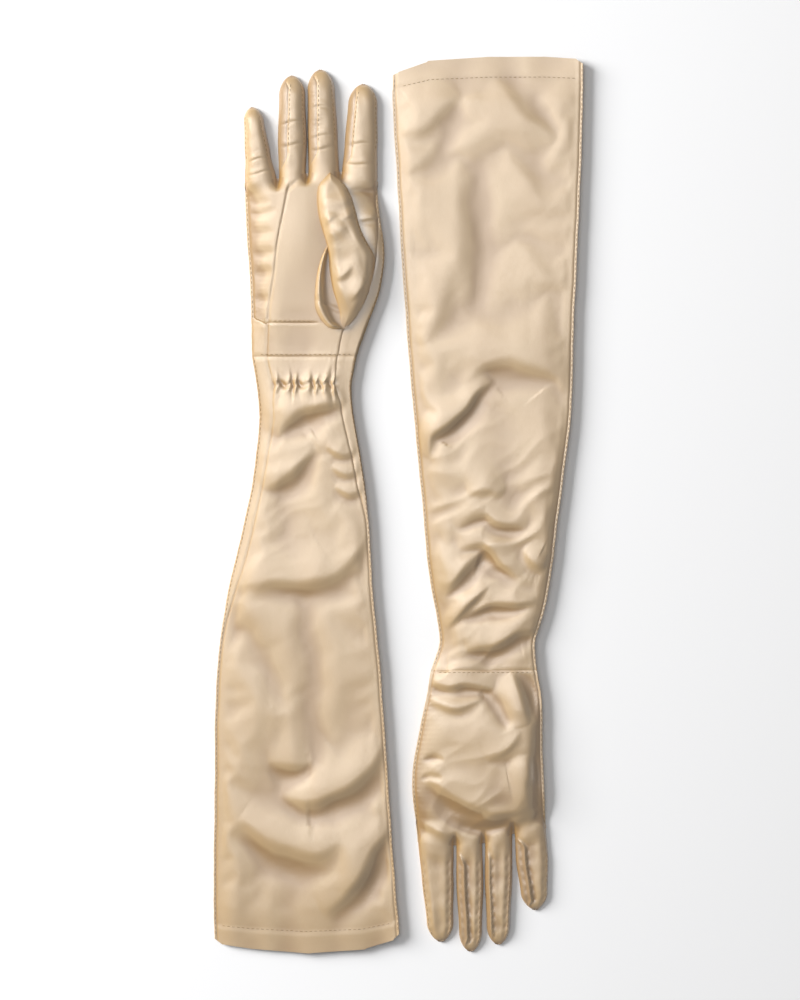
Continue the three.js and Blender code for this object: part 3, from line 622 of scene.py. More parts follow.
class Thumb:
    """The thumb, folded over the right glove's palm, or under the left glove's."""

    HEIGHT = {"right": 4.2, "left": 1.2}  # over its edges
    TURN = {"right": 0, "left": 20}  # degrees, from the glove's own direction
    SWINGS = (0, 15, 30, 45)  # degrees; the thumb and the palm keep clear of each other at all of them
    SHARPNESS = 12  # how closely the bed under the thumb follows the highest of them
    FOLDS = [
        ("step", 0.7, 3.4, [(-50, 197), (-42, 199), (-32, 202)]),
        ("step", 0.6, 3.6, [(-48, 178), (-40, 181), (-34, 186)]),
        ("valley", 0.6, 4.5, [(-41, 167), (-39, 160), (-35, 154)]),
        ("step", 0.7, 2.2, [(-41, 149), (-37, 151), (-32, 157)]),
        ("step", 0.6, 1.8, [(-31, 135), (-27, 140), (-22, 146)]),
        ("valley", 0.6, 3, [(-25, 168), (-21, 160), (-18, 152)]),
    ]
    GUSSET_LEFT = [(-37, 115.5), (-47, 117.5), (-54.5, 129), (-54.5, 145), (-51.5, 160), (-46, 173)]
    GUSSET_RIGHT = [(-33, 117), (-36, 122), (-38.5, 136), (-42.5, 150), (-44, 163), (-44.5, 172)]

    def __init__(self, glove):
        self.glove = glove
        side = glove.side
        self.turn = math.radians(self.TURN[side])
        node = f"{side}_thumb_outer_panel"
        c, s = math.cos(self.turn), math.sin(self.turn)
        self.turned = np.array([[c, -s], [s, c]])
        v = (glove.cad.vertices(node)[:, :2] @ self.turned)[:, 1]
        self.start, self.end = v.min(), v.max()
        self.levels = np.linspace(self.start + 0.5, self.end - 0.4, 70)
        low, high = glove.cad.spans([node], self.levels, self.turn)
        self.low, self.high = blurred(low, 1.5), blurred(high, 1.5)
        joint = next(j for j in frame["joints"] if j["name"] == f"{side}_thumb_swing")
        self.hinge = glove.sign * np.array(joint["pos_m"][:2]) / MM

    def point(self, v, q):
        """The place at v along the thumb, from its foot, and q across, from -1 to 1."""
        y = self.start + v
        low, high = np.interp(y, self.levels, self.low), np.interp(y, self.levels, self.high)
        near_tip = np.clip((y - self.end + 9) / 9, 0, 1)
        near_foot = np.clip((self.start + 8 - y) / 8, 0, 1)
        closing = np.prod([np.sqrt(np.maximum(1 - end**2.2, 0.01)) for end in (near_tip, near_foot)], axis=0)
        half = (high - low) / 2 * closing
        x = (low + high) / 2 + q * half
        back = np.stack(np.broadcast_arrays(x, y), -1) @ self.turned.T
        return back[..., 0], back[..., 1], half

    def rise(self, v, q, half):
        """The height of its upper side over its edges."""
        length = self.end - self.start
        along = smoothstep(-4, 26, v) * (1 - 0.45 * smoothstep(0.7 * length, length, v))
        d = (1 - np.abs(q)) * half
        return self.HEIGHT[self.glove.side] * along * np.sin(math.pi / 2 * np.clip(d / 7, 0, 1)) ** 0.7

    def swung(self, x, y, degrees):
        """Where a place gets to when it turns about the thumb's hinge, counterclockwise from above."""
        c, s = math.cos(math.radians(degrees)), math.sin(math.radians(degrees))
        from_hinge = np.stack(np.broadcast_arrays(x, y), -1) - self.hinge
        there = from_hinge @ np.array([[c, s], [-s, c]]) + self.hinge
        return there[..., 0], there[..., 1]

    def base(self, x, y):
        """What the thumb lies on, over all that it passes as it swings."""
        if not self.glove.palm_up:
            return 0 * x
        under = [self.glove.top(*self.swung(x, y, -swing)) for swing in self.SWINGS]
        return np.sum(np.power(under, self.SHARPNESS), axis=0) ** (1 / self.SHARPNESS) + THUMB_GAP

    def upper(self, v, q):
        x, y, half = self.point(v, q)
        z = self.base(x, y) + THUMB_EDGE + self.rise(v, q, half)
        if self.glove.palm_up:
            inside = smoothstep(0, 4, (1 - np.abs(q)) * half)
            for fold in self.FOLDS:
                z = z + inside * stroke_height(*fold, x, y)
            z = z + inside * 0.5 * noise(x / 11, y / 13, 51)
        return self.glove.placed(x, y, z)

    def under(self, v, q, inset=0.0):
        x, y, half = self.point(v, q * (1 - inset))
        rolled = np.clip((1 - np.abs(q)) * half / 2, 0, 1)
        z = self.base(x, y) + THUMB_EDGE * (1 - np.sqrt(1 - (1 - rolled) ** 2))
        return self.glove.placed(x, y, z)

    def lift(self, x, y):
        """How far the palm is raised by a thumb under it."""
        lift = np.zeros(np.broadcast(x, y).shape)
        for swing in self.SWINGS:
            there = np.stack(self.swung(x, y, swing), -1) @ self.turned
            u, v = there[..., 0], there[..., 1]
            low, high = np.interp(v, self.levels, self.low), np.interp(v, self.levels, self.high)
            beside = np.maximum(np.maximum(low - u, u - high), 0)
            beyond = np.maximum(np.maximum(self.start - v, v - self.end), 0)
            height = 1.7 + self.HEIGHT["left"] * smoothstep(-4, 26, v - self.start)
            lift = np.maximum(lift, height * smoothstep(12, 1.5, np.hypot(beside, beyond)))
        return lift

    def gusset(self, s, f):
        """The gusset's upper face: a fold standing up along its outer side, hollow by the thumb."""

        def along(route):
            curve = curve_through(route, 1)
            shares = np.linspace(0, 1, len(curve))
            return np.stack([np.interp(s, shares, curve[:, i]) for i in (0, 1)], -1)

        place = lerp(along(self.GUSSET_LEFT), along(self.GUSSET_RIGHT), f[..., None])
        x, y = place[..., 0], place[..., 1]
        closing = smoothstep(0, 0.12, s) * smoothstep(1, 0.8, s)
        wall = 3.2 * bell(f - 0.2, 0.2) * closing
        crease = 0.5 * bell((s - 0.32) + 0.25 * (f - 0.5), 0.03) * closing
        return self.glove.placed(x, y, self.base(x, y) + 0.9 + wall - crease - 0.2 * f)


# Meshes


def face_normals(grid, flip):
    """The normal at each point of a grid, out of the cloth's outer face."""
    normal = np.cross(np.gradient(grid, axis=1), np.gradient(grid, axis=0))
    normal /= np.maximum(np.linalg.norm(normal, axis=2, keepdims=True), 1e-12)
    return -normal if flip else normal


def shell_faces(index, under):
    """Both faces of a shell and the four sides between them."""

    def quads(a, b, c, d):
        return np.stack([a.ravel(), b.ravel(), c.ravel(), d.ravel()], 1)

    return np.vstack([
        quads(index[:-1, :-1], index[:-1, 1:], index[1:, 1:], index[1:, :-1]),
        quads(under[:-1, :-1], under[1:, :-1], under[1:, 1:], under[:-1, 1:]),
        quads(index[1:, 0], under[1:, 0], under[:-1, 0], index[:-1, 0]),
        quads(index[:-1, -1], under[:-1, -1], under[1:, -1], index[1:, -1]),
        quads(index[0, :-1], under[0, :-1], under[0, 1:], index[0, 1:]),
        quads(index[-1, 1:], under[-1, 1:], under[-1, :-1], index[-1, :-1]),
    ])


def lengths_along(points):
    """How far along a row of points each of them is."""
    return np.r_[0, np.cumsum(np.linalg.norm(np.diff(points, axis=0), axis=1))]


def levelled(z, u, v, reach):
    """Heights smoothed over a reach in millimetres, on a grid with the places u and v in metres."""
    for axis, place in ((0, v[:, 0]), (1, u[0])):
        spacing = (place[-1] - place[0]) / MM / len(place)
        z = blurred(z, min(reach / spacing, len(place) / 4), axis)
    return z


def add_cloth_coordinates(mesh, grid, faces, shade):
    """A UV map measured along the cloth, in metres, and how hollow it lies at each point, plus the added
    painted shade: the material paints the cloth darker and more golden by this value, as painted shade in
    hollows and folds.
    """
    rows, columns = grid.shape[:2]
    u, v = np.meshgrid(lengths_along(grid[rows // 2]), lengths_along(grid[:, columns // 2]))
    uv = np.tile(np.stack([u.ravel(), v.ravel()], 1), (2, 1))
    layer = mesh.uv_layers.new(name="cloth")
    layer.data.foreach_set("uv", uv[faces.ravel()].astype(np.float32).ravel())
    z = grid[:, :, 2] / MM
    # Painted shade: the lower a point lies than its smoothed surroundings, the more shade is painted into its
    # colour.
    hollow = levelled(z, u, v, 6) + 0.5 * levelled(z, u, v, 13) - 1.5 * z + shade
    hollow = np.tile(hollow.ravel(), 2).astype(np.float32)
    mesh.attributes.new("hollow", "FLOAT", "POINT").data.foreach_set("value", hollow)


def shell_mesh(name, grid, thickness, flip=False, shade=0.0):
    """A closed shell from a grid of points on its outer face, in metres."""
    rows, columns = grid.shape[:2]
    normal = face_normals(grid, flip)
    verts = np.vstack([grid.reshape(-1, 3), (grid - normal * thickness).reshape(-1, 3)])
    index = np.arange(rows * columns).reshape(rows, columns)
    faces = shell_faces(index, index + rows * columns)
    if flip:
        faces = faces[:, ::-1]
    mesh = bpy.data.meshes.new(name)
    mesh.from_pydata(verts.tolist(), [], faces.tolist())
    mesh.polygons.foreach_set("use_smooth", [True] * len(mesh.polygons))
    add_cloth_coordinates(mesh, grid, faces, shade)
    mesh.normals_split_custom_set_from_vertices(
        np.vstack([normal.reshape(-1, 3), -normal.reshape(-1, 3)]).tolist()
    )
    return mesh


def stitch_mesh(name, routes, length=2.0, radius=0.2):
    """Short threads, one every STITCH along each route of points on the cloth, in metres."""
    shares, widths = (0, 0.22, 0.78, 1), (0.35, 1, 1, 0.35)
    turns = np.arange(6) * math.pi / 3
    verts, faces = [], []
    for route in routes:
        place = lengths_along(route) / MM
        for start in np.arange(STITCH / 2, place[-1] - length, STITCH):
            ends = [[np.interp(s, place, route[:, k]) for k in range(3)] for s in (start, start + length)]
            a, b = np.array(ends)
            axis = (b - a) / np.linalg.norm(b - a)
            side = np.cross(axis, (0, 0, 1))
            side /= np.linalg.norm(side)
            up = np.cross(side, axis)
            first = len(verts)
            for share, width in zip(shares, widths):
                centre = lerp(a, b, share)
                ring = np.outer(np.cos(turns), side) + 0.7 * np.outer(np.sin(turns), up)
                verts += (centre + ring * radius * width * MM).tolist()
            for k in range(3):
                for j in range(6):
                    one, two = first + 6 * k + j, first + 6 * k + (j + 1) % 6
                    faces.append((one, two, two + 6, one + 6))
            faces.append(tuple(first + j for j in range(5, -1, -1)))
            faces.append(tuple(first + 18 + j for j in range(6)))
    mesh = bpy.data.meshes.new(name)
    mesh.from_pydata(verts, [], faces)
    mesh.polygons.foreach_set("use_smooth", [True] * len(mesh.polygons))
    return mesh


# Materials


def new_node(material, kind, **values):
    node = material.node_tree.nodes.new(kind)
    for name, value in values.items():
        node.inputs[name.replace("_", " ")].default_value = value
    return node


def scaled_noise(material, scale, detail):
    """Noise stretched along the cloth: scale is per metre across and along it."""
    links = material.node_tree.links
    uv = new_node(material, "ShaderNodeUVMap")
    uv.uv_map = "cloth"
    mapping = new_node(material, "ShaderNodeMapping", Scale=(*scale, 1))
    texture = new_node(material, "ShaderNodeTexNoise", Scale=1, Detail=detail)
    links.new(uv.outputs["UV"], mapping.inputs["Vector"])
    links.new(mapping.outputs["Vector"], texture.inputs["Vector"])
    return texture.outputs["Fac"]


def mapped(material, value, start, end, low=0.0, high=1.0):
    node = new_node(material, "ShaderNodeMapRange", From_Min=start, From_Max=end, To_Min=low, To_Max=high)
    material.node_tree.links.new(value, node.inputs["Value"])
    return node.outputs["Result"]


def mixed(material, factor, a, b):
    """Two colours mixed; each is a colour or another mix's result."""
    node = new_node(material, "ShaderNodeMix")
    node.data_type = "RGBA"
    links = material.node_tree.links
    links.new(factor, node.inputs["Factor"])
    for slot, colour in (("A", a), ("B", b)):
        socket = next(s for s in node.inputs if s.name == slot and s.type == "RGBA")
        if isinstance(colour, tuple):
            socket.default_value = (*colour, 1)
        else:
            links.new(colour, socket)
    return next(s for s in node.outputs if s.type == "RGBA")


def shader_of(material):
    material.use_nodes = True
    return material.node_tree.nodes["Principled BSDF"]


def satin_material(name, colour, hollow_shade_colour, pale_colour):
    """Satin: long fine threads, slubs and clouds of tone, and painted shade, darker and more golden, where it
    lies hollow.
    """
    material = bpy.data.materials.new(name)
    shader = shader_of(material)
    links = material.node_tree.links
    hollow = new_node(material, "ShaderNodeAttribute")
    hollow.attribute_name = "hollow"
    # Painted shade: the colour is mixed towards the darker golden colour where the cloth lies hollow or a
    # painted shade was added.
    hollow_shade_share = mapped(material, hollow.outputs["Fac"], 0.0, 0.75)
    clouds = mapped(material, scaled_noise(material, (45, 16), 3), 0.35, 0.75)
    threads = scaled_noise(material, (5200, 240), 2)
    base = mixed(material, clouds, colour, pale_colour)
    base = mixed(material, hollow_shade_share, base, hollow_shade_colour)
    darker = tuple(0.86 * c for c in colour)
    base = mixed(material, mapped(material, threads, 0.45, 0.8, 0, 0.35), base, darker)
    links.new(base, shader.inputs["Base Color"])
    links.new(mapped(material, threads, 0.3, 0.7, 0.4, 0.5), shader.inputs["Roughness"])
    tangent = new_node(material, "ShaderNodeTangent")
    tangent.direction_type = "UV_MAP"
    tangent.uv_map = "cloth"
    links.new(tangent.outputs["Tangent"], shader.inputs["Tangent"])
    bump = new_node(material, "ShaderNodeBump", Strength=0.22, Distance=0.00008)
    links.new(threads, bump.inputs["Height"])
    links.new(bump.outputs["Normal"], shader.inputs["Normal"])
    shader.inputs["IOR"].default_value = 2.5
    shader.inputs["Specular IOR Level"].default_value = 1.0
    shader.inputs["Anisotropic"].default_value = 0.3
    return material


def thread_material(name, colour, dark_colour):
    """Twisted sewing thread."""
    material = bpy.data.materials.new(name)
    shader = shader_of(material)
    texture = new_node(material, "ShaderNodeTexNoise", Scale=900, Detail=2)
    where = new_node(material, "ShaderNodeTexCoord")
    material.node_tree.links.new(where.outputs["Object"], texture.inputs["Vector"])
    tone = mixed(material, mapped(material, texture.outputs["Fac"], 0.35, 0.65), colour, dark_colour)
    material.node_tree.links.new(tone, shader.inputs["Base Color"])
    shader.inputs["Roughness"].default_value = 0.55
    return material


def elastic_material(name, colour, rib_colour):
    """Woven elastic tape, ribbed along its length."""
    material = bpy.data.materials.new(name)
    shader = shader_of(material)
    links = material.node_tree.links
    weave = scaled_noise(material, (120, 2400), 1)
    tone = mixed(material, mapped(material, weave, 0.4, 0.6), colour, rib_colour)
    links.new(tone, shader.inputs["Base Color"])
    bump = new_node(material, "ShaderNodeBump", Strength=0.6, Distance=0.0002)
    links.new(weave, bump.inputs["Height"])
    links.new(bump.outputs["Normal"], shader.inputs["Normal"])
    shader.inputs["Roughness"].default_value = 0.85
    return material


# The second colour of each satin is the painted shade for its hollows.
MATERIALS = {
    "satin": satin_material("champagne_satin", (0.57, 0.355, 0.135), (0.39, 0.2, 0.035), (0.6, 0.39, 0.16)),
    # Painted shade: a darker copy of the satin, for the finger side strips and the turned-in hem, which lie
    # in shade.
    "facing": satin_material("champagne_satin_shaded", (0.38, 0.215, 0.07), (0.3, 0.155, 0.03), (0.42, 0.25, 0.09)),
    "thread": thread_material("sewing_thread", (0.46, 0.32, 0.18), (0.34, 0.23, 0.12)),
    "elastic": elastic_material("wrist_elastic_tape", (0.80, 0.77, 0.70), (0.62, 0.58, 0.50)),
}


# Grids of points on each piece's outer face


def rows_between(start, end, step=ROW_STEP):
    return np.linspace(start, end, max(3, int(round(abs(end - start) / step)) + 1))[:, None]


def columns_across(n):
    """Shares from 0 to 1, closer together at both ends."""
    t = np.linspace(0, 1, n)
    return lerp(t, (1 - np.cos(math.pi * t)) / 2, 0.7)


def bowed(glove, x, y):
    """y moved to follow the cuff's edge."""
    share = (x - glove.left(y)) / (glove.right(y) - glove.left(y))
    return y + glove.bow(y, share)


def upper_grid(glove, y, shares):
    left, right = glove.inner_sides(y)
    x = lerp(left, right, shares[None, :])
    return glove.placed(x, bowed(glove, x, y), glove.top(x, y + 0 * x))


def lower_parts(glove, y, shares):
    """The lower cloth's x, y and z in three parts: over the top on the left, below, and on the right."""
    first, last = y[:, :1], y[:, -1:]
    wrap = np.linspace(0, 1, 7)[None, :]
    in_left, _ = glove.inner_sides(first)
    _, in_right = glove.inner_sides(last)
    xs = [
        lerp(in_left, glove.left(first), wrap[:, :-1]),
        lerp(glove.left(y), glove.right(y), shares[None, :]),
        lerp(glove.right(last), in_right, wrap[:, 1:]),
    ]
    ys = [first + 0 * xs[0], y + 0 * xs[1], last + 0 * xs[2]]
    zs = [glove.top(xs[0], ys[0]), glove.bottom(xs[1], ys[1]), glove.top(xs[2], ys[2])]
    return xs, ys, zs


def lower_grid(glove, y, shares):
    """The lower cloth: over the top from its left seam, round the edge, below, and up again."""
    x, y, z = (np.concatenate(part, 1) for part in lower_parts(glove, y, shares))
    return glove.placed(x, bowed(glove, x, y), z)


def hand_shares(glove, per_finger):
    """Shares across the hand, closer together at each finger's sides."""
    shares = [lerp(f.left[0], f.right[0], columns_across(per_finger)) for f in glove.fingers]
    middles = [[(a.right[0] + b.left[0]) / 2] for a, b in zip(glove.fingers, glove.fingers[1:])]
    every = np.sort(np.concatenate([*shares, *middles]))
    return (every - glove.root_left[0]) / (glove.root_right[0] - glove.root_left[0])


def root_rows(glove, shares, start, step):
    """Rows of y from a level up to the finger roots, and the share of the way there."""
    ends = np.array([p for finger in glove.fingers for p in (finger.left, finger.right)])
    root_x = lerp(glove.root_left[0], glove.root_right[0], shares)
    root_y = np.interp(root_x, ends[:, 0], ends[:, 1])
    s = rows_between(0, 1, step / (root_y.max() - start))
    return lerp(start, root_y[None, :], s)


def hand_upper(glove, start, end=None):
    """The upper cloth over the hand, up to a seam or to the finger roots."""
    shares = hand_shares(glove, 30)
    if end is not None:
        return upper_grid(glove, rows_between(start, end, HAND_ROW_STEP), shares)
    y = root_rows(glove, shares, start, HAND_ROW_STEP)
    left, right = glove.inner_sides(y)
    x = lerp(left, right, shares[None, :])
    comb = np.zeros(shares.shape)
    root_x = lerp(glove.root_left[0], glove.root_right[0], shares)
    for finger in glove.fingers:
        q = (2 * root_x - finger.left[0] - finger.right[0]) / (finger.right[0] - finger.left[0])
        comb = np.maximum(comb, tube_rise(q))
    comb = SEAM_HEIGHT + (FINGER_TOP[glove.side] - SEAM_HEIGHT) * comb[None, :]
    to_root = y.max(0, keepdims=True) - y
    z = lerp(comb, glove.top(x, y), smoothstep(0, 10, to_root))
    return glove.placed(x, y, z)


def hand_lower(glove, start, end=None):
    """The lower cloth of the hand, up to a seam or to the finger roots."""
    shares = hand_shares(glove, 12)
    if end is not None:
        return lower_grid(glove, rows_between(start, end, 2), shares)
    y = root_rows(glove, shares, start, 2)
    xs, ys, zs = lower_parts(glove, y, shares)
    level = SEAM_HEIGHT * (np.abs(2 * shares[None, :] - 1) > 0.999)
    zs[1] = lerp(level, zs[1], smoothstep(0, 10, y.max(0, keepdims=True) - y))
    return glove.placed(*(np.concatenate(part, 1) for part in (xs, ys, zs)))


def finger_grids(glove, finger):
    """The top, under and two side strips of a finger, each with whether it faces down or out."""
    t = np.linspace(0, 1, 84)[:, None]
    t = lerp(t, np.sin(t * math.pi / 2), 0.5)
    half = finger.half(t)
    opening = smoothstep(0, 0.22, t) * smoothstep(1, 0.86, t)
    outer, inner = (width / half * opening for width in finger.strips)

    def surface(q, upper):
        place = finger.plan(t + 0 * q, q)
        z = finger.top(t, q) if upper else finger.under(t, q)
        if upper:
            for seam in (-1 + outer, 1 - inner):
                apart = (q - seam) * half
                sewn = (seam_relief if glove.palm_up else raised_seam)(apart, t * finger.length)
                z = z + opening * sewn * (1 - q**6)
        return glove.placed(place[..., 0], place[..., 1], z)

    top = surface(lerp(-1 + outer, 1 - inner, columns_across(34)[None, :]), True)
    has_outer, has_inner = finger.number > 0, finger.number < len(FINGERS) - 1
    inset = 1.2 / half
    low = lerp(-1 + inset * has_outer, 1 - inset * has_inner, columns_across(16)[None, :])
    grids = {"top": (top, False), "under": (surface(low + 0 * t, False), True)}
    g = np.linspace(0, 1, 9)[None, :]
    if has_outer:
        over, below = surface(-1 + outer * (1 - g), True), surface(-1 + inset * g, False)
        grids["outer"] = (np.concatenate([over, below[:, 1:]], 1), True)
    if has_inner:
        over, below = surface(1 - inner * g, True), surface(1 - inset * (1 - g), False)
        grids["inner"] = (np.concatenate([below, over[:, 1:]], 1), True)
    return grids


def hem_grid(glove):
    """The hem, turned in and up the inside of the cuff: a ring open at its left side."""
    y = rows_between(glove.cuff + 0.2, glove.cuff + HEM_DEPTH, 1.6)
    shares = columns_across(60)[None, :]
    left, right = glove.left(y) + HEM_INSET, glove.right(y) - HEM_INSET
    over = lerp(left, right, shares)
    below = lerp(right, left, shares)
    above = glove.top(over, y + 0 * over) - CLOTH - LAYER_GAP
    under = glove.bottom(below, y + 0 * below) + 2 * CLOTH + LAYER_GAP
    x = np.concatenate([over, below[:, 1:]], 1)
    z = np.concatenate([above, under[:, 1:]], 1)
    return glove.placed(x, bowed(glove, x, y), z)


def elastic_grid(glove):
    """The elastic tape, in its casing inside the wrist."""
    y = rows_between(glove.gather_line - ELASTIC_HALF_WIDTH, glove.gather_line + ELASTIC_HALF_WIDTH, 0.8)
    left, right = glove.left(y) + ELASTIC_INSET, glove.right(y) - ELASTIC_INSET
    x = lerp(left, right, np.linspace(0, 1, 90)[None, :])
    if glove.palm_up:
        z = glove.top(x, y + 0 * x) - CLOTH - TAPE_GAP
    else:
        z = 0 * x + 2 * CLOTH + TAPE_GAP
    return glove.placed(x, y, z)


# Letting the cloth settle


def cloth_solver(sheet, held_points):
    """Blender's Cloth on a sheet that is a little larger than its outline, so that it buckles."""
    sheet.vertex_groups.new(name="held").add(held_points, 1.0, "REPLACE")
    solver = sheet.modifiers.new("settle", "CLOTH")
    cloth = solver.settings
    cloth.vertex_group_mass = "held"
    cloth.quality = 5
    cloth.mass = 0.02
    cloth.tension_stiffness = cloth.compression_stiffness = 15
    cloth.shear_stiffness = 3
    cloth.bending_stiffness = 2
    cloth.tension_damping = cloth.compression_damping = cloth.shear_damping = 5
    cloth.effector_weights.gravity = 0
    cloth.shrink_min = -SLACK
    solver.collision_settings.use_collision = False
    solver.point_cache.frame_start = 1
    solver.point_cache.frame_end = SETTLING_FRAMES


def finer(values, shape):
    """values at every other row and column, filled in to the given shape."""
    rows, columns = shape
    across = np.linspace(0, values.shape[1] - 1, columns)
    along = np.linspace(0, values.shape[0] - 1, rows)
    wide = np.array([np.interp(across, np.arange(values.shape[1]), row) for row in values])
    full = np.array([np.interp(along, np.arange(values.shape[0]), column) for column in wide.T]).T
    return blurred(blurred(full, 1.2, 0), 1.2, 1)


def settled(grid, held):
    """A grid of points after the cloth solver has run, where held is 0, and unmoved where it is 1."""
    coarse = grid[::2, ::2]
    rows, columns = coarse.shape[:2]
    index = np.arange(rows * columns).reshape(rows, columns)
    corners = (index[:-1, :-1], index[:-1, 1:], index[1:, 1:], index[1:, :-1])
    mesh = bpy.data.meshes.new("settling")
    faces = np.stack([c.ravel() for c in corners], 1)
    mesh.from_pydata(coarse.reshape(-1, 3).tolist(), [], faces.tolist())
    sheet = bpy.data.objects.new("settling", mesh)
    scene = bpy.context.scene
    scene.collection.objects.link(sheet)
    cloth_solver(sheet, index[held[::2, ::2] > 0.98].tolist())
    for number in range(1, SETTLING_FRAMES + 1):
        scene.frame_set(number)
    result = sheet.evaluated_get(bpy.context.evaluated_depsgraph_get())
    moved = np.empty(rows * columns * 3)
    result.data.vertices.foreach_get("co", moved)
    rise = moved.reshape(coarse.shape)[..., 2] - coarse[..., 2]
    bpy.data.objects.remove(sheet)
    bpy.data.meshes.remove(mesh)
    scene.frame_set(1)
    rise = np.clip(finer(rise, grid.shape[:2]), -SETTLING_CAP * MM, SETTLING_CAP * MM) * (1 - held)
    grid = grid.copy()
    grid[..., 2] = np.maximum(grid[..., 2] + rise, np.minimum(grid[..., 2], 1.1 * MM))
    return grid


def held_at_sides(glove, grid, levels=()):
    """1 near a sheet's sides and near each level of y, within its reach, easing to 0 away from them."""
    x, y = grid[..., 0] * glove.sign / MM, grid[..., 1] * glove.sign / MM
    apart = np.minimum(x - x[:, :1], x[:, -1:] - x)
    held = smoothstep(8, 2, apart)
    for column_end in (y[:1], y[-1:]):
        held = np.maximum(held, smoothstep(9, 3, np.abs(y - column_end)))
    for level, reach in levels:
        held = np.maximum(held, smoothstep(reach + 8, reach, np.abs(y - level)))
    return held


# Stitching


def on_top(glove, x, y):
    """Points for a row of stitches on the upper cloth."""
    x, y = np.broadcast_arrays(np.asarray(x, float), np.asarray(y, float))
    return glove.placed(x, bowed(glove, x, y), glove.top(x, y) + LAYER_GAP)


def sleeve_stitches(glove):
    y = np.arange(glove.cuff + 2, glove.seam - 1, 0.5)
    left, right = glove.left(y), glove.right(y)
    x = np.arange(glove.left(glove.cuff + 8) + 4, glove.right(glove.cuff + 8) - 4, 0.5)
    return [
        on_top(glove, left + 0.9, y),
        on_top(glove, right - 0.9, y),
        on_top(glove, x, glove.cuff + HEM_DEPTH + 1),
    ]


def wrist_stitches(glove):
    x = np.arange(glove.left(glove.seam) + 4, glove.right(glove.seam) - 3, 0.5)
    return [on_top(glove, x, glove.seam + 1.4)]


def hand_stitches(glove):
    y = np.arange(glove.seam + 24, min(glove.root_left[1], glove.root_right[1]) - 2, 0.5)
    routes = [on_top(glove, glove.left(y) + 0.9, y), on_top(glove, glove.right(y) - 0.9, y)]
    if glove.palm_up:
        x = np.arange(-84, -56, 0.5)
        routes.append(on_top(glove, x, glove.palm_seam + 1.2))
    return routes


def finger_stitches(glove, finger):
    """Stitches along the seams of a finger that show from above, past its bend."""
    t = np.linspace(0.28, 0.93, 160)
    half = finger.half(t)
    routes = []
    for side, width in zip((-1, 1), finger.strips):
        q = side * (1 - (width + 0.9) / half)
        place = finger.plan(t, q)
        routes.append(glove.placed(place[..., 0], place[..., 1], finger.top(t, q) + LAYER_GAP))
    return routes


def thumb_stitches(glove):
    v = np.arange(52, glove.thumb.end - glove.thumb.start - 4, 0.5)
    _, _, half = glove.thumb.point(v, 1.0)
    return [glove.thumb.upper(v, 1 - 1.0 / half) + np.array([0, 0, LAYER_GAP * MM])]


# Assembly


def new_piece(name, mesh, material):
    made = bpy.data.objects.new(name, mesh)
    bpy.context.scene.collection.objects.link(made)
    made.data.materials.append(material)
    return made


def carry(made, carrier):
    """carrier is one body, which the piece is attached to, or two bodies with the start and the end of a bend
    between them; such a piece is only baked in place, attached to neither, and does not bend.
    """
    if isinstance(carrier, str):
        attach(made, carrier)
    else:
        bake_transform(made)


def declare_sheet(made, grid, held, under):
    """Measures the size the piece was cut to, along the cloth, and keeps nothing: no sheet is declared."""
    width = float(np.linalg.norm(np.diff(grid, axis=1), axis=2).sum(1).max())
    length = float(np.linalg.norm(np.diff(grid, axis=0), axis=2).sum(0).max())
    if min(width, length) < NARROWEST_SHEET_M:
        return


def add_cloth(node, grid, carrier, flip=False, kind="satin", thickness=CLOTH, sheet=None, shade=0.0):
    mesh = shell_mesh(node, grid, thickness * MM, flip, shade)
    made = new_piece(f"{node}_cloth", mesh, MATERIALS[kind])
    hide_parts(node)
    if sheet:
        declare_sheet(made, grid, *sheet)
    carry(made, carrier)
    return made


def add_stitches(name, routes, carrier):
    carry(new_piece(name, stitch_mesh(name, routes), MATERIALS["thread"]), carrier)


def build_sleeve(glove, up, down, wrist):
    side = glove.side
    lower, upper = f"{side}_sleeve_{down}_panel", f"{side}_sleeve_{up}_panel"
    grid = upper_grid(glove, rows_between(glove.cuff, glove.seam), columns_across(101))
    levels = [(glove.cuff, HEM_DEPTH + 3)]
    if glove.palm_up:
        levels.append((glove.gather_line + 5, 16))
    grid = settled(grid, held_at_sides(glove, grid, levels))
    add_cloth(upper, grid, wrist, sheet=("gathered" if glove.palm_up else "laid", [lower]))
    grid = lower_grid(glove, rows_between(glove.cuff, glove.seam, 2), columns_across(40))
    # Painted shade on the lower cloth, which shows at the margins: painted darker and more golden.
    add_cloth(lower, grid, wrist, flip=True, sheet=("laid", ["floor"]), shade=LOWER_PAINTED_SHADE)
    sleeve = f"{side}_sleeve"
    # The hem takes the darker copy of the satin, painted shade.
    add_cloth(f"{side}_cuff_hem", hem_grid(glove), sleeve, kind="facing", thickness=HEM_CLOTH,
              sheet=("folded", [lower]))
    add_cloth(f"{side}_wrist_elastic", elastic_grid(glove), sleeve, kind="elastic", thickness=ELASTIC)
    add_stitches(f"{side}_sleeve_stitches", sleeve_stitches(glove), wrist)
    add_stitches(f"{side}_wrist_stitches", wrist_stitches(glove), wrist)


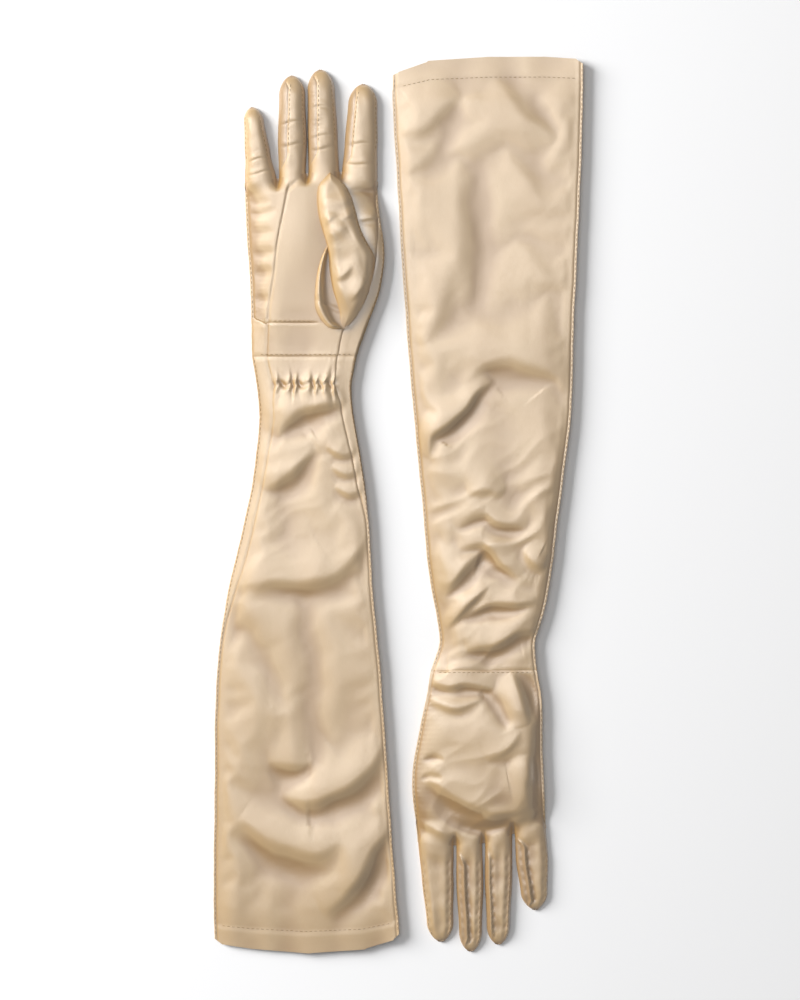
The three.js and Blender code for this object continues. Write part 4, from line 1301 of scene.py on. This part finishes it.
def build_hand(glove, up, wrist):
    side, hand = glove.side, f"{glove.side}_hand"
    lying = ("laid", ["floor"])
    heel, palm, back = (f"{side}_{n}" for n in ("heel_panel", "palm_panel", "hand_back_panel"))
    if up == "palm":
        pieces = ((heel, (glove.seam, glove.palm_seam), wrist), (palm, (glove.palm_seam,), hand))
        # Painted shade: the right palm and heel are painted a little darker and more golden, and so is the
        # lower cloth.
        for name, ends, carrier in pieces:
            add_cloth(name, hand_upper(glove, *ends), carrier, sheet=("laid", [back]), shade=PALM_PAINTED_SHADE)
        add_cloth(back, hand_lower(glove, glove.seam), wrist, flip=True, sheet=lying, shade=LOWER_PAINTED_SHADE)
    else:
        add_cloth(heel, hand_lower(glove, glove.seam, glove.palm_seam), wrist, flip=True, sheet=lying)
        add_cloth(palm, hand_lower(glove, glove.palm_seam), hand, flip=True, sheet=lying)
        grid = hand_upper(glove, glove.seam)
        # Painted shade: a darker golden band over the knuckles, where the cloth turns away from the light.
        middle, width = KNUCKLE_SHADE_BAND
        shade = KNUCKLE_PAINTED_SHADE * bell(np.linspace(0, 1, len(grid))[:, None] - middle, width)
        add_cloth(back, grid, wrist, sheet=("laid", [palm]), shade=shade)
    add_stitches(f"{side}_hand_stitches", hand_stitches(glove), hand)


def build_thumb(glove):
    side, thumb = glove.side, glove.thumb
    foot_x, foot_y, _ = thumb.point(np.array(0.0), np.array(0.0))
    way = np.array([-math.sin(thumb.turn), math.cos(thumb.turn)])
    ends = [glove.placed(foot_x + way[0] * d, foot_y + way[1] * d, 0) for d in THUMB_BEND]
    carrier = (f"{side}_hand", f"{side}_thumb", *ends)
    v = np.linspace(0, 1, 90)[:, None] * (thumb.end - thumb.start)
    q = lerp(-1, 1, columns_across(44))[None, :]
    nodes = [f"{side}_thumb_{part}_panel" for part in ("outer", "inner")]
    upper, lower = nodes if glove.palm_up else nodes[::-1]
    on_palm = ("laid", [f"{side}_palm_panel"])
    add_cloth(upper, thumb.upper(v, q), carrier, sheet=on_palm)
    add_cloth(lower, thumb.under(v, q, inset=0.02), carrier, flip=True, sheet=on_palm)
    s, f = np.linspace(0, 1, 60)[:, None], np.linspace(0, 1, 24)[None, :]
    if glove.palm_up:
        grid = thumb.gusset(s + 0 * f, f + 0 * s)
        # Painted shade: the gusset is painted darker and more golden, as in shade under the thumb.
        add_cloth(f"{side}_thumb_gusset", grid, carrier, sheet=("folded", on_palm[1]), shade=LOWER_PAINTED_SHADE)
        add_stitches(f"{side}_thumb_stitches", thumb_stitches(glove), carrier)
    else:
        x, y, _ = thumb.point(4 + 44 * s, -1 + 0 * s)
        x = x + lerp(-7 * np.sin(math.pi * s), 0.6, f)
        grid = glove.placed(x, y + 0 * f, 0.9 + 0 * x)
        add_cloth(f"{side}_thumb_gusset", grid, carrier, sheet=("laid", ["floor"]))


def build_fingers(glove, up, down):
    side = glove.side
    for finger in glove.fingers:
        way = finger.along / finger.length
        ends = [glove.placed(*(finger.root + way * d), 0) for d in (0.5, FINGER_BEND)]
        carrier = (f"{side}_hand", f"{side}_{finger.name}", *ends)
        names = {
            "top": (f"{finger.name}_{up}_piece", "satin"),
            "under": (f"{finger.name}_{down}_piece", "satin"),
            # The side strips take the darker copy of the satin, painted shade.
            "outer": (f"{finger.name}_fourchette_outer", "facing"),
            "inner": (f"{finger.name}_fourchette_inner", "facing"),
        }
        for key, (grid, flip) in finger_grids(glove, finger).items():
            node, kind = names[key]
            under = f"{side}_{finger.name}_{down}_piece"
            sheet = ("laid", ["floor" if key == "under" else under])
            # Painted shade: every finger piece is painted darker and more golden, the left glove's the most.
            add_cloth(f"{side}_{node}", grid, carrier, flip, kind, sheet=sheet, shade=FINGER_PAINTED_SHADE[side])
        add_stitches(f"{side}_{finger.name}_stitches", finger_stitches(glove, finger), carrier)


def build_glove(side):
    glove = Glove(side)
    up, down = ("palm", "back") if glove.palm_up else ("back", "palm")
    bend = [(0, glove.sign * (glove.seam + d) * MM, 0) for d in WRIST_BEND]
    wrist = (f"{side}_sleeve", f"{side}_hand", *bend)
    build_sleeve(glove, up, down, wrist)
    build_hand(glove, up, wrist)
    build_thumb(glove)
    build_fingers(glove, up, down)


# The table, the light and the camera


def pale_table():
    bpy.ops.mesh.primitive_plane_add(size=6, location=(0, 0, -0.0004))
    floor = bpy.context.object
    floor.name = "floor"
    pale = bpy.data.materials.new("pale_floor")
    shader = shader_of(pale)
    shader.inputs["Base Color"].default_value = (0.94, 0.94, 0.945, 1)
    shader.inputs["Roughness"].default_value = 0.9
    shader.inputs["Specular IOR Level"].default_value = 0.2
    floor.data.materials.append(pale)


def softbox(name, place, size, energy):
    light = bpy.data.lights.new(name, "AREA")
    light.shape = "RECTANGLE"
    light.size, light.size_y = size
    light.energy = energy
    lamp = bpy.data.objects.new(name, light)
    lamp.location = place
    lamp.rotation_euler = (-Vector(place)).to_track_quat("-Z", "Y").to_euler()
    bpy.context.scene.collection.objects.link(lamp)
    return lamp


def studio():
    scene = bpy.context.scene
    scene.view_settings.view_transform = "Standard"
    world = bpy.data.worlds.new("studio")
    world.use_nodes = True
    world.node_tree.nodes["Background"].inputs["Color"].default_value = (1, 1, 1, 1)
    world.node_tree.nodes["Background"].inputs["Strength"].default_value = 0.21
    scene.world = world
    key = softbox("key", (-2.4, 0.9, 1.2), (1.5, 1.5), 146)
    key.visible_glossy = False
    softbox("overhead", (-0.5, 0.45, 2.7), (1.7, 1.7), 14)
    gleam = softbox("gleam", (-1.4, 1.1, 2.0), (1.3, 1.3), 17)
    gleam.visible_diffuse = False


def camera():
    height, view_height = 2.4, 0.66
    data = bpy.data.cameras.new("camera")
    data.sensor_width = 36
    data.lens = data.sensor_width * height / view_height
    data.clip_end = 20
    made = bpy.data.objects.new("camera", data)
    made.location = (0.001, 0.0033, height)
    bpy.context.scene.collection.objects.link(made)
    bpy.context.scene.camera = made


for side in ("right", "left"):
    build_glove(side)
pale_table()
studio()
camera()
